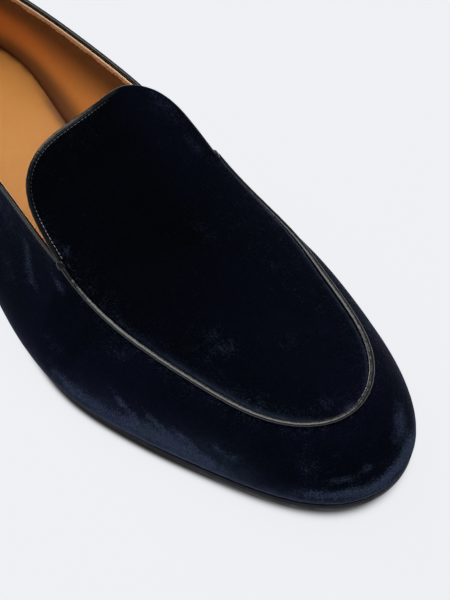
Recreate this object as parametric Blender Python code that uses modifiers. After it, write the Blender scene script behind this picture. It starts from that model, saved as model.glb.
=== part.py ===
"""The right shoe of a pair of low velvet slipper loafers, standing empty on its sole.

The plan is worked in millimetres: s runs forward from the back of the heel along the shoe,
x runs from the outer side (negative) to the inner side of the foot, and z is height over the floor.
An angle runs round the shoe: 0 at the heel, to pi at the toe along the outer side, and back along
the inner side. The meshes are in metres, with the toe toward -Y.
"""

from collections import namedtuple
from math import pi

import bmesh
import bpy
import numpy as np

METRES = 0.001

# The middle of the shoe's own box, which stands on the origin
MIDDLE_X = -4.4
MIDDLE_S = 146.8

# Sizes of the last and the sole
SOLE_LENGTH = 294.0
BALL_WIDTH = 97.0
INSTEP_HEIGHT = 70.0
HEEL_HEIGHT = 14.0
HEEL_RADIUS = 30.0
TOE_RADIUS = 30.0
TOE_LEAN = 7.4
TOE_LEAN_START = 0.6
TOE_LEAN_LENGTH = 0.4
HEEL_LEAN = -5.0
HEEL_LEAN_LENGTH = 0.4

# Sizes of the pieces
WALL_THICKNESS = 2.3
GAP = 0.3
SOLE_THICKNESS = 4.5
SOLE_MARGIN = 1.2
INSOLE_THICKNESS = 3.0
INSOLE_INSET = 2.6
LIFT_THICKNESS = 5.0
HEEL_BREAST = 68.0
HEEL_TAPER = 1.2
HEEL_LEVELS = (0.0, 0.5, 1.0)

# The edge line: the top of the collar behind the tacks, the apron seam in front of them
COLLAR_BACK = 7.0
COLLAR_BACK_RADIUS = 24.0
APRON_FRONT = 272.3
APRON_FRONT_RADIUS = 20.6
APRON_LEAN = 7.8
APRON_LEAN_START = 0.5
APRON_LEAN_LENGTH = 0.4
TACK_STATION = 158.5
TONGUE_TOP = 125.0
TONGUE_SQUARENESS = 4.2
TONGUE_FLARE = 0.95

# The rise of the wall from the sole to the edge line
COLLAR_LEAN_DEG = 80.0
VAMP_LEAN_DEG = 38.0
LEAN_CHANGE_START = 10.0
LEAN_CHANGE_LENGTH = 70.0
FOOT_PULL = 0.33
EDGE_PULL = 0.42
BULGE_PULL = 1.3

# Trim
PIPING_HALF_WIDTH = 1.35
PIPING_RISE = 1.7
PIPING_POINTS = 7
PIPING_SHOULDER = 0.8
BINDING_REACH = 2.8
BINDING_LEATHER = 0.8
TACK_CLEARANCE = 3.5
COLLAR_CLEARANCE = 0.08
TONGUE_BARE_ROWS = 2
SLOPE_STEP = 0.5
TACK_LENGTH = 2.6
TACK_WIDTH = 2.0
TACK_RISE = 1.5
TACK_SIDES = 12
TACK_LEVELS = [(0.7, 1.0), (1.0, 0.6), (1.0, 0.0)]

# Mesh steps
VAMP_STEPS = 36
COLLAR_STEPS = 28
WALL_ROWS = 8
PLUG_COLUMNS = 10
TONGUE_ROWS = 8
SOLE_STEPS = 88
INSOLE_STEPS = 64

Width = namedtuple("Width", "share outer inner")
Height = namedtuple("Height", "station height")
Crown = namedtuple("Crown", "station fall")
Bulge = namedtuple("Bulge", "share outer inner")
Edge = namedtuple("Edge", "inset level")

# Half widths at the sole, as shares of the ball width, against the share of the sole length
FEATHER_WIDTHS = [
    Width(0.06, 0.265, 0.272),
    Width(0.16, 0.322, 0.343),
    Width(0.30, 0.370, 0.268),
    Width(0.45, 0.488, 0.264),
    Width(0.58, 0.560, 0.358),
    Width(0.68, 0.526, 0.463),
    Width(0.76, 0.470, 0.486),
    Width(0.86, 0.391, 0.429),
    Width(0.94, 0.290, 0.304),
]

# Half widths at the edge line, as shares of the ball width, against the share of its own length
EDGE_WIDTHS = [
    Width(0.06, 0.215, 0.225),
    Width(0.18, 0.304, 0.335),
    Width(0.36, 0.345, 0.392),
    Width(0.56, 0.414, 0.403),
    Width(0.70, 0.403, 0.416),
    Width(0.82, 0.342, 0.364),
    Width(0.93, 0.255, 0.261),
]

# Underside of the sole, in shares of the heel height against shares of the sole length
BOTTOM_HEIGHTS = [
    Height(0.0, 1.0),
    Height(0.22, 0.96),
    Height(0.40, 0.45),
    Height(0.62, 0.0),
    Height(0.73, 0.0),
    Height(0.85, 0.21),
    Height(1.0, 0.64),
]

# Height of the middle of the tongue and the plug, in shares of the instep height
SPINE_HEIGHTS = [
    Height(110, 1.406),
    Height(135, 1.233),
    Height(165, 1.000),
    Height(200, 0.803),
    Height(235, 0.671),
    Height(268, 0.606),
]

# How fast the top falls to the sides, per millimetre
CROWN_FALLS = [
    Crown(110, 0.0082),
    Crown(135, 0.0078),
    Crown(165, 0.0082),
    Crown(200, 0.0077),
    Crown(235, 0.0078),
    Crown(268, 0.0060),
]

# Top of the collar over the floor, behind the tacks
COLLAR_HEIGHTS = [
    Height(0, 80.0),
    Height(45, 68.5),
    Height(85, 62.0),
    Height(120, 61.5),
]

# How far the wall swells over the sole
BULGES = [
    Bulge(0.2, 7.0, 5.0),
    Bulge(0.5, 14.8, 7.2),
    Bulge(0.75, 9.0, 1.6),
]
HEEL_BULGE = 6.0
TOE_BULGE = 8.0

# Edge of the outsole from its top face to its underside, the level in shares of its thickness
SOLE_EDGE = [
    Edge(0.5, 1.0),
    Edge(0.0, 0.84),
    Edge(0.0, 0.2),
    Edge(0.7, 0.0),
]


def curve_slopes(x, y):
    """Slopes at the rows for a curve that never overshoots them."""
    run = np.diff(x)
    rise = np.diff(y) / run
    slopes = np.zeros(len(x))
    for i in range(1, len(x) - 1):
        if rise[i - 1] * rise[i] <= 0:
            continue
        before = 2 * run[i] + run[i - 1]
        after = run[i] + 2 * run[i - 1]
        slopes[i] = (before + after) / (before / rise[i - 1] + after / rise[i])
    slopes[-1] = 1.5 * rise[-1] - 0.5 * slopes[-2]
    return slopes


def held_curve(rows, x):
    """Height along rows, level at the first, held at its ends and never past a row."""
    stations = np.array([row[0] for row in rows], float)
    heights = np.array([row[1] for row in rows], float)
    slopes = curve_slopes(stations, heights)
    x = np.clip(x, stations[0], stations[-1])
    i = np.clip(np.searchsorted(stations, x) - 1, 0, len(stations) - 2)
    run = stations[i + 1] - stations[i]
    u = (x - stations[i]) / run
    return (
        heights[i] * (1 + 2 * u) * (1 - u) ** 2
        + slopes[i] * run * u * (1 - u) ** 2
        + heights[i + 1] * u * u * (3 - 2 * u)
        + slopes[i + 1] * run * u * u * (u - 1)
    )


def cubic(x, y, bends, left, right, run, where):
    """One span of a cubic curve, from the bends at its two ends."""
    near = where - x[left]
    far = run - near
    curved = (bends[left] * far**3 + bends[right] * near**3) / (6 * run)
    straight = (y[left] / run - bends[left] * run / 6) * far
    return curved + straight + (y[right] / run - bends[right] * run / 6) * near


def smooth_curve(rows, x):
    """Smooth curve through rows of station and value, straight beyond its ends."""
    stations = np.array([row[0] for row in rows], float)
    values = np.array([row[1] for row in rows], float)
    count = len(stations)
    run = np.diff(stations)
    rise = np.diff(values) / run
    system = np.eye(count)
    load = np.zeros(count)
    for i in range(1, count - 1):
        system[i, i - 1 : i + 2] = run[i - 1], 2 * (run[i - 1] + run[i]), run[i]
        load[i] = 6 * (rise[i] - rise[i - 1])
    bends = np.linalg.solve(system, load)
    inside = np.clip(x, stations[0], stations[-1])
    i = np.clip(np.searchsorted(stations, inside) - 1, 0, count - 2)
    first = rise[0] - run[0] * bends[1] / 6
    last = rise[-1] + run[-1] * bends[-2] / 6
    beyond = np.minimum(x - stations[0], 0) * first + np.maximum(x - stations[-1], 0) * last
    return cubic(stations, values, bends, i, i + 1, run[i], inside) + beyond


def closed_curve(angles, values, where):
    """Smooth closed curve through values at angles, of period two pi."""
    count = len(angles)
    run = np.diff(np.append(angles, angles[0] + 2 * pi))
    rise = (np.roll(values, -1) - values) / run
    system = np.zeros((count, count))
    load = np.zeros(count)
    for i in range(count):
        before = (i - 1) % count
        system[i, before] += run[before]
        system[i, i] += 2 * (run[before] + run[i])
        system[i, (i + 1) % count] += run[i]
        load[i] = 6 * (rise[i] - rise[before])
    bends = np.linalg.solve(system, load)
    where = np.mod(where - angles[0], 2 * pi) + angles[0]
    i = np.clip(np.searchsorted(angles, where, side="right") - 1, 0, count - 1)
    return cubic(angles, values, bends, i, (i + 1) % count, run[i], where)


def round_the_shoe(rows, heel, toe, angle, divide):
    """Rows of share, outer and inner value as one closed curve of the angle."""
    outer_angles = np.array([np.arccos(1 - 2 * row.share) for row in rows])
    scale = np.sin(outer_angles) if divide else np.ones(len(rows))
    outer = np.array([row.outer for row in rows]) / scale
    inner = np.array([row.inner for row in rows]) / scale
    angles = np.concatenate([[0.0], outer_angles, [pi], 2 * pi - outer_angles[::-1]])
    values = np.concatenate([[heel], outer, [toe], inner[::-1]])
    return closed_curve(angles, values, angle)


def ease(share):
    share = np.clip(share, 0, 1)
    return share * share * (3 - 2 * share)


def end_width(radius, length):
    """The width value that gives an outline this radius at its end."""
    return np.sqrt(radius * length / 2) / BALL_WIDTH


def bottom_height(s):
    return held_curve(BOTTOM_HEIGHTS, s / SOLE_LENGTH) * HEEL_HEIGHT


def seat_height(s):
    """Top of the outsole."""
    return bottom_height(s) + SOLE_THICKNESS


def heel_lean(s):
    """How far the middle of the heel end sits to the outer side."""
    return HEEL_LEAN * (1 - ease(s / SOLE_LENGTH / HEEL_LEAN_LENGTH))


def feather_plan(angle):
    """The line where the upper meets the sole, as x and s."""
    heel = end_width(HEEL_RADIUS, SOLE_LENGTH)
    toe = end_width(TOE_RADIUS, SOLE_LENGTH)
    half = round_the_shoe(FEATHER_WIDTHS, heel, toe, angle, True) * BALL_WIDTH
    s = SOLE_LENGTH / 2 * (1 - np.cos(angle))
    lean = TOE_LEAN * ease((s / SOLE_LENGTH - TOE_LEAN_START) / TOE_LEAN_LENGTH)
    return np.stack([heel_lean(s) + lean - half * np.sin(angle), s], -1)


def edge_lean(s):
    return APRON_LEAN * ease((s / SOLE_LENGTH - APRON_LEAN_START) / APRON_LEAN_LENGTH)


def edge_plan(angle):
    length = APRON_FRONT - COLLAR_BACK
    heel = end_width(COLLAR_BACK_RADIUS, length)
    toe = end_width(APRON_FRONT_RADIUS, length)
    half = round_the_shoe(EDGE_WIDTHS, heel, toe, angle, True) * BALL_WIDTH
    s = COLLAR_BACK + length / 2 * (1 - np.cos(angle))
    return np.stack([heel_lean(s) + edge_lean(s) - half * np.sin(angle), s], -1)


def top_height(x, s):
    """Height of the plug and the tongue."""
    fall = smooth_curve(CROWN_FALLS, np.clip(s, CROWN_FALLS[0].station, CROWN_FALLS[-1].station))
    return smooth_curve(SPINE_HEIGHTS, s) * INSTEP_HEIGHT - fall * (x - edge_lean(s)) ** 2


def tack_angle():
    """The angle at which the outer side's tack sits."""
    return float(np.arccos(1 - 2 * (TACK_STATION - COLLAR_BACK) / (APRON_FRONT - COLLAR_BACK)))


def collar_height(s, tack_height):
    return smooth_curve(COLLAR_HEIGHTS + [Height(TACK_STATION, tack_height)], s)


def edge_line(angle):
    """The top of the wall: the apron seam, then the collar behind the tacks."""
    plan = edge_plan(angle)
    x = plan[:, 0]
    s = plan[:, 1]
    tacks = edge_plan(np.array([tack_angle(), 2 * pi - tack_angle()]))
    outer, inner = top_height(tacks[:, 0], tacks[:, 1])
    on_outer = np.mod(angle, 2 * pi) < pi
    collar = np.where(on_outer, collar_height(s, outer), collar_height(s, inner))
    return np.column_stack([x, s, np.where(s < TACK_STATION - GAP, collar, top_height(x, s))])


def outward(loop):
    """Unit directions away from a closed loop that runs heel, outer side, toe, inner side."""
    along = np.roll(loop, -1, axis=0) - np.roll(loop, 1, axis=0)
    away = np.stack([-along[:, 1], along[:, 0]], -1)
    return away / np.linalg.norm(away, axis=1)[:, None]


def flat(directions):
    return np.column_stack([directions, np.zeros(len(directions))])


def unit(vectors):
    return vectors / np.linalg.norm(vectors, axis=-1, keepdims=True)


def wall_top_direction(away, s):
    """Where the wall heads as it leaves the edge line, outward and down."""
    change = ease((s - TACK_STATION + LEAN_CHANGE_START) / LEAN_CHANGE_LENGTH)
    lean = np.radians(COLLAR_LEAN_DEG + (VAMP_LEAN_DEG - COLLAR_LEAN_DEG) * change)
    return np.column_stack([away * np.cos(lean)[:, None], -np.sin(lean)])


def wall_rows(angle):
    """Rows of points up the wall, from the feather line to the edge line."""
    feather = feather_plan(angle)
    away = outward(feather)
    foot = np.column_stack([feather, seat_height(feather[:, 1]) + GAP])
    top = edge_line(angle)
    rise = (top[:, 2] - foot[:, 2])[:, None]
    bulge = round_the_shoe(BULGES, HEEL_BULGE, TOE_BULGE, angle, False)[:, None]
    low = foot + flat(away) * bulge * BULGE_PULL + np.array([0, 0, FOOT_PULL]) * rise
    high = top + wall_top_direction(away, top[:, 1]) * rise * EDGE_PULL
    v = np.linspace(0, 1, WALL_ROWS + 1)[:, None, None]
    return (1 - v) ** 3 * foot + 3 * (1 - v) ** 2 * v * low + 3 * (1 - v) * v * v * high + v**3 * top


def upper_angles():
    """Angles from the outer tack round the toe to the inner tack, then round the heel."""
    tack = tack_angle()
    front = np.linspace(tack, 2 * pi - tack, VAMP_STEPS + 1)
    back = np.linspace(2 * pi - tack + COLLAR_CLEARANCE, 2 * pi + tack - COLLAR_CLEARANCE, COLLAR_STEPS + 1)
    return np.concatenate([front, back])


def in_order(angle):
    """The same angles from 0 up, and the order that brings them back."""
    turned = np.mod(angle, 2 * pi)
    order = np.argsort(turned)
    back = np.empty(len(order), int)
    back[order] = np.arange(len(order))
    return turned[order], back


def upper_rows():
    """Rows of points up the wall, each in the order of the upper's angles."""
    turned, back = in_order(upper_angles())
    return wall_rows(turned)[:, back]


def tongue_grid():
    """Points over the tongue, from the row between the tacks back to its rounded top."""
    u = np.linspace(-1, 1, PLUG_COLUMNS + 1)[None, :]
    v = np.linspace(0, 1, TONGUE_ROWS + 1)[:, None]
    across = u * np.sqrt(1 - v * v / 2)
    back = v * np.sqrt(1 - u * u / 2)
    turn = np.arctan2(back, across)
    power = TONGUE_SQUARENESS
    reach = (np.abs(np.cos(turn)) ** power + np.abs(np.sin(turn)) ** power) ** (-1 / power)
    stretch = 1 + (reach - 1) * np.hypot(across, back)
    across = across * stretch
    back = back * stretch
    ends = edge_plan(np.array([tack_angle(), 2 * pi - tack_angle()]))[:, 0]
    s = TACK_STATION - (TACK_STATION - TONGUE_TOP) * back
    half = (ends[1] - ends[0]) / 2 * (1 + (TONGUE_FLARE - 1) * back)
    x = (ends[0] + ends[1]) / 2 + half * across
    return np.stack([x, s, top_height(x, s)], -1)


def plug_rows(seam):
    """Points inside the apron seam, a row across for each pair of seam points."""
    share = np.linspace(0, 1, PLUG_COLUMNS + 1)[1:-1, None]
    rows = []
    for k in range(1, VAMP_STEPS // 2):
        left = seam[k]
        right = seam[VAMP_STEPS - k]
        row = left + (right - left) * share
        row[:, 2] = top_height(row[:, 0], row[:, 1])
        rows.append(row)
    return rows


def to_metres(points):
    points = np.asarray(points, float)
    return np.column_stack([points[:, 0] - MIDDLE_X, MIDDLE_S - points[:, 1], points[:, 2]]) * METRES


def strip(lower, upper):
    """Faces between two rows of vertex numbers of the same length."""
    return [(lower[i], lower[i + 1], upper[i + 1], upper[i]) for i in range(len(lower) - 1)]


def make_material(name, colour, roughness):
    material = bpy.data.materials.new(name)
    material.use_nodes = True
    shader = material.node_tree.nodes["Principled BSDF"]
    shader.inputs["Base Color"].default_value = (*colour, 1.0)
    shader.inputs["Roughness"].default_value = roughness
    return material


def make_object(name, points, faces, material, closed):
    mesh = bpy.data.meshes.new(name)
    mesh.from_pydata(to_metres(points).tolist(), [], faces)
    work = bmesh.new()
    work.from_mesh(mesh)
    if closed:
        bmesh.ops.recalc_face_normals(work, faces=work.faces)
        if work.calc_volume(signed=True) < 0:
            bmesh.ops.reverse_faces(work, faces=work.faces)
    work.to_mesh(mesh)
    work.free()
    obj = bpy.data.objects.new(name, mesh)
    obj.data.materials.append(material)
    bpy.context.scene.collection.objects.link(obj)
    return obj


def make_upper(material):
    """Vamp, quarters, plug and tongue as one sheet with a real wall."""
    rows = upper_rows()
    count = rows.shape[1]
    points = [point for row in rows for point in row]
    loops = [[level * count + i for i in range(count)] for level in range(WALL_ROWS + 1)]
    faces = []
    for low, high in zip(loops, loops[1:]):
        faces += strip(low + low[:1], high + high[:1])
    seam = loops[-1]
    patch = []
    grid = tongue_grid()
    first = len(points)
    points += [point for row in grid[1:] for point in row]
    width = PLUG_COLUMNS + 1
    for k in range(TONGUE_ROWS - 1, -1, -1):
        patch.append([first + k * width + j for j in range(width)])
    middle = len(points)
    points += list(grid[0, 1:-1])
    patch.append([seam[0]] + [middle + j for j in range(width - 2)] + [seam[VAMP_STEPS]])
    for k, row in enumerate(plug_rows(rows[-1]), start=1):
        start = len(points)
        points += list(row)
        patch.append([seam[k]] + [start + j for j in range(width - 2)] + [seam[VAMP_STEPS - k]])
    for low, high in zip(patch, patch[1:]):
        faces += strip(high, low)
    tip = seam[VAMP_STEPS // 2]
    last = patch[-1]
    faces += [(tip, last[j + 1], last[j]) for j in range(width - 1)]
    upper = make_object("upper", points, faces, material, False)
    solid = upper.modifiers.new("wall", "SOLIDIFY")
    solid.thickness = WALL_THICKNESS * METRES
    solid.offset = -1.0
    solid.use_even_offset = True
    solid.use_rim = True
    return upper


def across(loop):
    """Faces that close a loop of vertex numbers from side to side."""
    faces = [(loop[0], loop[1], loop[-1])]
    for k in range(1, len(loop) // 2):
        corners = dict.fromkeys([loop[k], loop[k + 1], loop[-k - 1], loop[-k]])
        faces.append(tuple(corners))
    return faces


def make_slab(name, rings, material):
    """A plate from rings of points that run heel, outer side, front, inner side."""
    count = len(rings[0])
    points = [point for ring in rings for point in ring]
    loops = [[level * count + i for i in range(count)] for level in range(len(rings))]
    faces = across(loops[0]) + across(loops[-1])
    for low, high in zip(loops, loops[1:]):
        faces += strip(low + low[:1], high + high[:1])
    return make_object(name, points, faces, material, True)


def outline(angle, margin):
    """The feather line moved outward by a margin, as x and s."""
    feather = feather_plan(angle)
    return feather + outward(feather) * margin


def make_outsole(material):
    angle = np.linspace(0, 2 * pi, SOLE_STEPS + 1)[:-1]
    rings = []
    for row in SOLE_EDGE:
        plan = outline(angle, SOLE_MARGIN - row.inset)
        height = bottom_height(plan[:, 1]) + SOLE_THICKNESS * row.level
        rings.append(np.column_stack([plan, height]))
    return make_slab("outsole", rings, material)


def make_insole(material):
    angle = np.linspace(0, 2 * pi, INSOLE_STEPS + 1)[:-1]
    plan = outline(angle, -INSOLE_INSET)
    low = np.column_stack([plan, seat_height(plan[:, 1]) + GAP])
    high = low + np.array([0, 0, INSOLE_THICKNESS])
    return make_slab("insole", [high, low], material)


def heel_ring(inset):
    """Plan of the heel behind its straight breast."""
    angle = np.linspace(0, 2 * pi, SOLE_STEPS + 1)[:-1]
    behind_breast = feather_plan(angle)[:, 1] < HEEL_BREAST
    return outline(angle, SOLE_MARGIN - inset)[behind_breast]


def make_heel(material):
    rings = []
    for share in HEEL_LEVELS:
        plan = heel_ring(SOLE_EDGE[-1].inset + HEEL_TAPER * share)
        top = bottom_height(plan[:, 1]) - GAP
        foot = LIFT_THICKNESS + GAP
        rings.append(np.column_stack([plan, top + (foot - top) * share]))
    return make_slab("heel", rings, material)


def make_lift(material):
    plan = heel_ring(SOLE_EDGE[-1].inset + HEEL_TAPER)
    high = np.column_stack([plan, np.full(len(plan), LIFT_THICKNESS)])
    low = np.column_stack([plan, np.zeros(len(plan))])
    return make_slab("heel_lift", [high, low], material)


def trim_frame(path, out, hint):
    """Directions across a trim: out beyond the edge, and lift away from the sheet."""
    along = unit(np.gradient(path, axis=0))
    lift = unit(np.cross(along, out))
    lift = lift * np.sign(np.sum(lift * hint, axis=1))[:, None]
    out = unit(out - along * np.sum(out * along, axis=1)[:, None])
    return out, lift


def make_trim(name, path, out, lift, section, material):
    """A strip with one section along its whole path."""
    points = []
    for reach, rise in section:
        points.append(path + out * reach + lift * rise)
    points = np.stack(points, 1).reshape(-1, 3)
    width = len(section)
    rings = [[k * width + j for j in range(width)] for k in range(len(path))]
    faces = [tuple(rings[0]), tuple(rings[-1])]
    for low, high in zip(rings, rings[1:]):
        faces += strip(low + low[:1], high + high[:1])
    return make_object(name, points, faces, material, True)


def seam_frame():
    """The apron seam with its directions out over the wall and up off the seam."""
    rows = upper_rows()[:, : VAMP_STEPS + 1]
    path = rows[-1]
    down = unit(rows[-2] - path)
    away = unit(down[:, :2])
    inside = path[:, :2] - away
    drop = top_height(inside[:, 0], inside[:, 1]) - path[:, 2]
    inward = unit(np.column_stack([-away, drop]))
    out, lift = trim_frame(path, down - inward, np.array([0, 0, 1.0]))
    return path, out, lift


def bead_section():
    """Half round section of the piping, as reach and rise."""
    turns = np.linspace(0, pi, PIPING_POINTS)
    reach = -PIPING_HALF_WIDTH * np.cos(turns)
    rise = GAP + PIPING_RISE * np.sin(turns) ** PIPING_SHOULDER
    return list(zip(reach, rise))


def binding_section():
    """Leather folded over an edge, as reach beyond the edge and rise over the sheet."""
    outer = GAP + BINDING_LEATHER
    under = -WALL_THICKNESS - GAP
    turn = BINDING_LEATHER / 2
    return [
        (-BINDING_REACH, GAP),
        (-BINDING_REACH, outer),
        (turn, outer),
        (outer, GAP),
        (outer, under),
        (turn, under - BINDING_LEATHER),
        (-BINDING_REACH, under - BINDING_LEATHER),
        (-BINDING_REACH, under),
        (GAP, under),
        (GAP, GAP),
    ]


def make_piping(material):
    path, out, lift = seam_frame()
    path = path.copy()
    path[0] += unit(path[1] - path[0]) * TACK_CLEARANCE
    path[-1] += unit(path[-2] - path[-1]) * TACK_CLEARANCE
    return make_trim("apron_piping", path, out, lift, bead_section(), material)


def make_collar_binding(material):
    rows = upper_rows()[:, VAMP_STEPS + 1 :]
    path = rows[-1]
    down = unit(rows[-2] - path)
    out, lift = trim_frame(path, -down, np.column_stack([down[:, :2], np.zeros(len(path))]))
    return make_trim("collar_binding", path, out, lift, binding_section(), material)


def make_tongue_binding(material):
    grid = tongue_grid()
    bare = TONGUE_BARE_ROWS
    path = np.concatenate([grid[bare:, 0], grid[-1, 1:-1], grid[: bare - 1 : -1, -1]])
    x = path[:, 0]
    s = path[:, 1]
    step = SLOPE_STEP
    along_x = top_height(x + step, s) - top_height(x - step, s)
    along_s = top_height(x, s + step) - top_height(x, s - step)
    normal = unit(np.column_stack([-along_x, -along_s, np.full(len(path), 2 * step)]))
    middle = grid[0, PLUG_COLUMNS // 2]
    out = np.cross(normal, unit(np.gradient(path, axis=0)))
    out = out * np.sign(np.sum(out * (path - middle), axis=1))[:, None]
    out, lift = trim_frame(path, out, normal)
    return make_trim("tongue_binding", path, out, lift, binding_section(), material)


def make_tack(name, place, material):
    """A small leather pad over the end of the apron seam."""
    path, out, lift = seam_frame()
    centre = path[place]
    along = unit(np.cross(out[place], lift[place]))
    turn = np.linspace(0, 2 * pi, TACK_SIDES + 1)[:-1, None]
    rings = []
    for size, rise in TACK_LEVELS:
        spots = along * TACK_LENGTH * np.cos(turn) + out[place] * TACK_WIDTH * np.sin(turn)
        rings.append(centre + spots * size + lift[place] * (GAP + TACK_RISE * rise))
    return make_slab(name, rings, material)


def build_shoe():
    for obj in list(bpy.data.objects):
        bpy.data.objects.remove(obj, do_unlink=True)
    velvet = make_material("velvet", (0.004, 0.006, 0.016), 0.9)
    trim = make_material("trim_leather", (0.006, 0.006, 0.008), 0.35)
    tan = make_material("tan_leather", (0.50, 0.21, 0.055), 0.5)
    sole = make_material("sole_leather", (0.008, 0.008, 0.009), 0.4)
    rubber = make_material("lift_rubber", (0.012, 0.012, 0.012), 0.7)
    make_upper(velvet)
    make_piping(trim)
    make_tongue_binding(trim.copy())
    make_collar_binding(trim.copy())
    make_tack("tack_outer", 0, trim.copy())
    make_tack("tack_inner", VAMP_STEPS, trim.copy())
    make_insole(tan)
    make_outsole(sole)
    make_heel(sole.copy())
    make_lift(rubber)


build_shoe()
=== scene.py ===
"""The looks of a right velvet slipper loafer: velvet, leather trim, lining, insole, sole and heel.

Shapes are worked in millimetres as in the model: s runs forward from the back of the heel, x from
the outer side (negative) to the inner side of the foot, z up from the floor.
"""

from collections import namedtuple
from math import pi

import bmesh
import bpy
import numpy as np
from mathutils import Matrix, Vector


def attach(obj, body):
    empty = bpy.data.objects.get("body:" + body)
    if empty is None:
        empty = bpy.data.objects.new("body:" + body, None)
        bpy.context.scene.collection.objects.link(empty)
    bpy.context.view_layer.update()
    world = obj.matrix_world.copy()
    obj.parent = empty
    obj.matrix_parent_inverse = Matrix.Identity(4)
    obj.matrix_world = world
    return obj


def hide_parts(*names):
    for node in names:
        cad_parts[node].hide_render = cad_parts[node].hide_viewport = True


Span = namedtuple("Span", "start length")

METRES = 0.001

# The middle of the shoe's own box, which stands on the origin
MIDDLE_X = -4.4
MIDDLE_S = 146.8

# Sizes of the last and the sole
SOLE_LENGTH = 294.0
BALL_WIDTH = 97.0
INSTEP_HEIGHT = 70.0
HEEL_HEIGHT = 14.0
HEEL_RADIUS = 30.0
TOE_RADIUS = 30.0
TOE_LEAN = 7.4
TOE_LEAN_SPAN = Span(0.6, 0.4)
HEEL_LEAN = -5.0
HEEL_LEAN_LENGTH = 0.4

# Sizes of the pieces
GAP = 0.3
SOLE_THICKNESS = 4.5
SOLE_MARGIN = 1.2
INSOLE_THICKNESS = 3.0
INSOLE_INSET = 2.6
LIFT_THICKNESS = 5.0
HEEL_BREAST = 68.0
HEEL_TAPER = 1.2
SOLE_FOOT_INSET = 0.7

# The edge line: the top of the collar behind the tacks, the apron seam in front of them
COLLAR_BACK = 7.0
COLLAR_BACK_RADIUS = 24.0
APRON_FRONT = 272.3
APRON_FRONT_RADIUS = 20.6
APRON_LEAN = 7.8
APRON_LEAN_SPAN = Span(0.5, 0.4)
TACK_STATION = 158.5
TONGUE_TOP = 125.0
TONGUE_SQUARENESS = 4.2
TONGUE_FLARE = 0.95
TONGUE_CORNER = 1.0
TONGUE_CORNER_MIDDLE = 22.0
TONGUE_CORNER_WIDTH = 9.0
TONGUE_NARROW = 0.6
TONGUE_FLAT = 1.5
TONGUE_FLAT_MIDDLE = -2.0
TONGUE_FLAT_WIDTH = 17.0
COLLAR_CLEARANCE = 0.013

# The rise of the wall from the sole to the edge line
COLLAR_LEAN_DEG = 80.0
VAMP_LEAN_DEG = 38.0
LEAN_CHANGE = Span(-10.0, 70.0)
FOOT_PULL = 0.33
EDGE_PULL = 0.42
BULGE_PULL = 1.3

# Mesh steps
VAMP_STEPS = 440
COLLAR_STEPS = 260
WALL_ROWS = 44
PLUG_COLUMNS = 56
TONGUE_ROWS = 32
SOLE_STEPS = 320
RIM_STEPS = 240
SOLE_COLUMNS = 24
INSOLE_COLUMNS = 40
FLOOR_COLUMNS = 8
TACK_STEPS = 32
TACK_THREAD_STEPS = 10
CAP_STEPS = 12

Width = namedtuple("Width", "share outer inner")
Height = namedtuple("Height", "station height")
Crown = namedtuple("Crown", "station fall")
Bulge = namedtuple("Bulge", "share outer inner")
Edge = namedtuple("Edge", "inset level")


def table(kind, rows):
    """Rows of numbers as rows of a kind."""
    return [kind(*row) for row in rows]


# Half widths at the sole, as shares of the ball width, against the share of the sole length
FEATHER_WIDTHS = table(Width, [
    (0.06, 0.265, 0.272), (0.16, 0.322, 0.343), (0.30, 0.370, 0.268), (0.45, 0.488, 0.264),
    (0.58, 0.560, 0.358), (0.68, 0.526, 0.463), (0.76, 0.470, 0.486), (0.86, 0.391, 0.429),
    (0.94, 0.290, 0.304),
])

# Half widths at the edge line, as shares of the ball width, against the share of its own length
EDGE_WIDTHS = table(Width, [
    (0.06, 0.215, 0.225), (0.18, 0.304, 0.335), (0.36, 0.345, 0.392), (0.56, 0.414, 0.403),
    (0.70, 0.403, 0.416), (0.82, 0.342, 0.364), (0.93, 0.255, 0.261),
])

# Underside of the sole, in shares of the heel height against shares of the sole length
BOTTOM_HEIGHTS = table(Height, [
    (0.0, 1.0), (0.22, 0.96), (0.40, 0.45), (0.62, 0.0), (0.73, 0.0), (0.85, 0.21), (1.0, 0.64),
])

# Height of the middle of the tongue and the plug, in shares of the instep height
SPINE_HEIGHTS = table(Height, [
    (110, 1.406), (135, 1.233), (165, 1.000), (200, 0.803), (235, 0.671), (268, 0.606),
])

# How fast the top falls to the sides, per millimetre
CROWN_FALLS = table(Crown, [
    (110, 0.0082), (135, 0.0078), (165, 0.0082), (200, 0.0077), (235, 0.0078), (268, 0.0060),
])

# Top of the collar over the floor, behind the tacks
COLLAR_HEIGHTS = table(Height, [(0, 80.0), (45, 68.5), (85, 62.0), (120, 61.5)])

# How far the wall swells over the sole
BULGES = table(Bulge, [
    (0.2, 7.0, 5.0), (0.5, 14.8, 7.2), (0.75, 9.0, 1.6),
])
HEEL_BULGE = 6.0
TOE_BULGE = 8.0


def curve_slopes(x, y):
    """Slopes at the rows for a curve that never overshoots them."""
    run = np.diff(x)
    rise = np.diff(y) / run
    slopes = np.zeros(len(x))
    for i in range(1, len(x) - 1):
        if rise[i - 1] * rise[i] <= 0:
            continue
        before = 2 * run[i] + run[i - 1]
        after = run[i] + 2 * run[i - 1]
        slopes[i] = (before + after) / (before / rise[i - 1] + after / rise[i])
    slopes[-1] = 1.5 * rise[-1] - 0.5 * slopes[-2]
    return slopes


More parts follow.
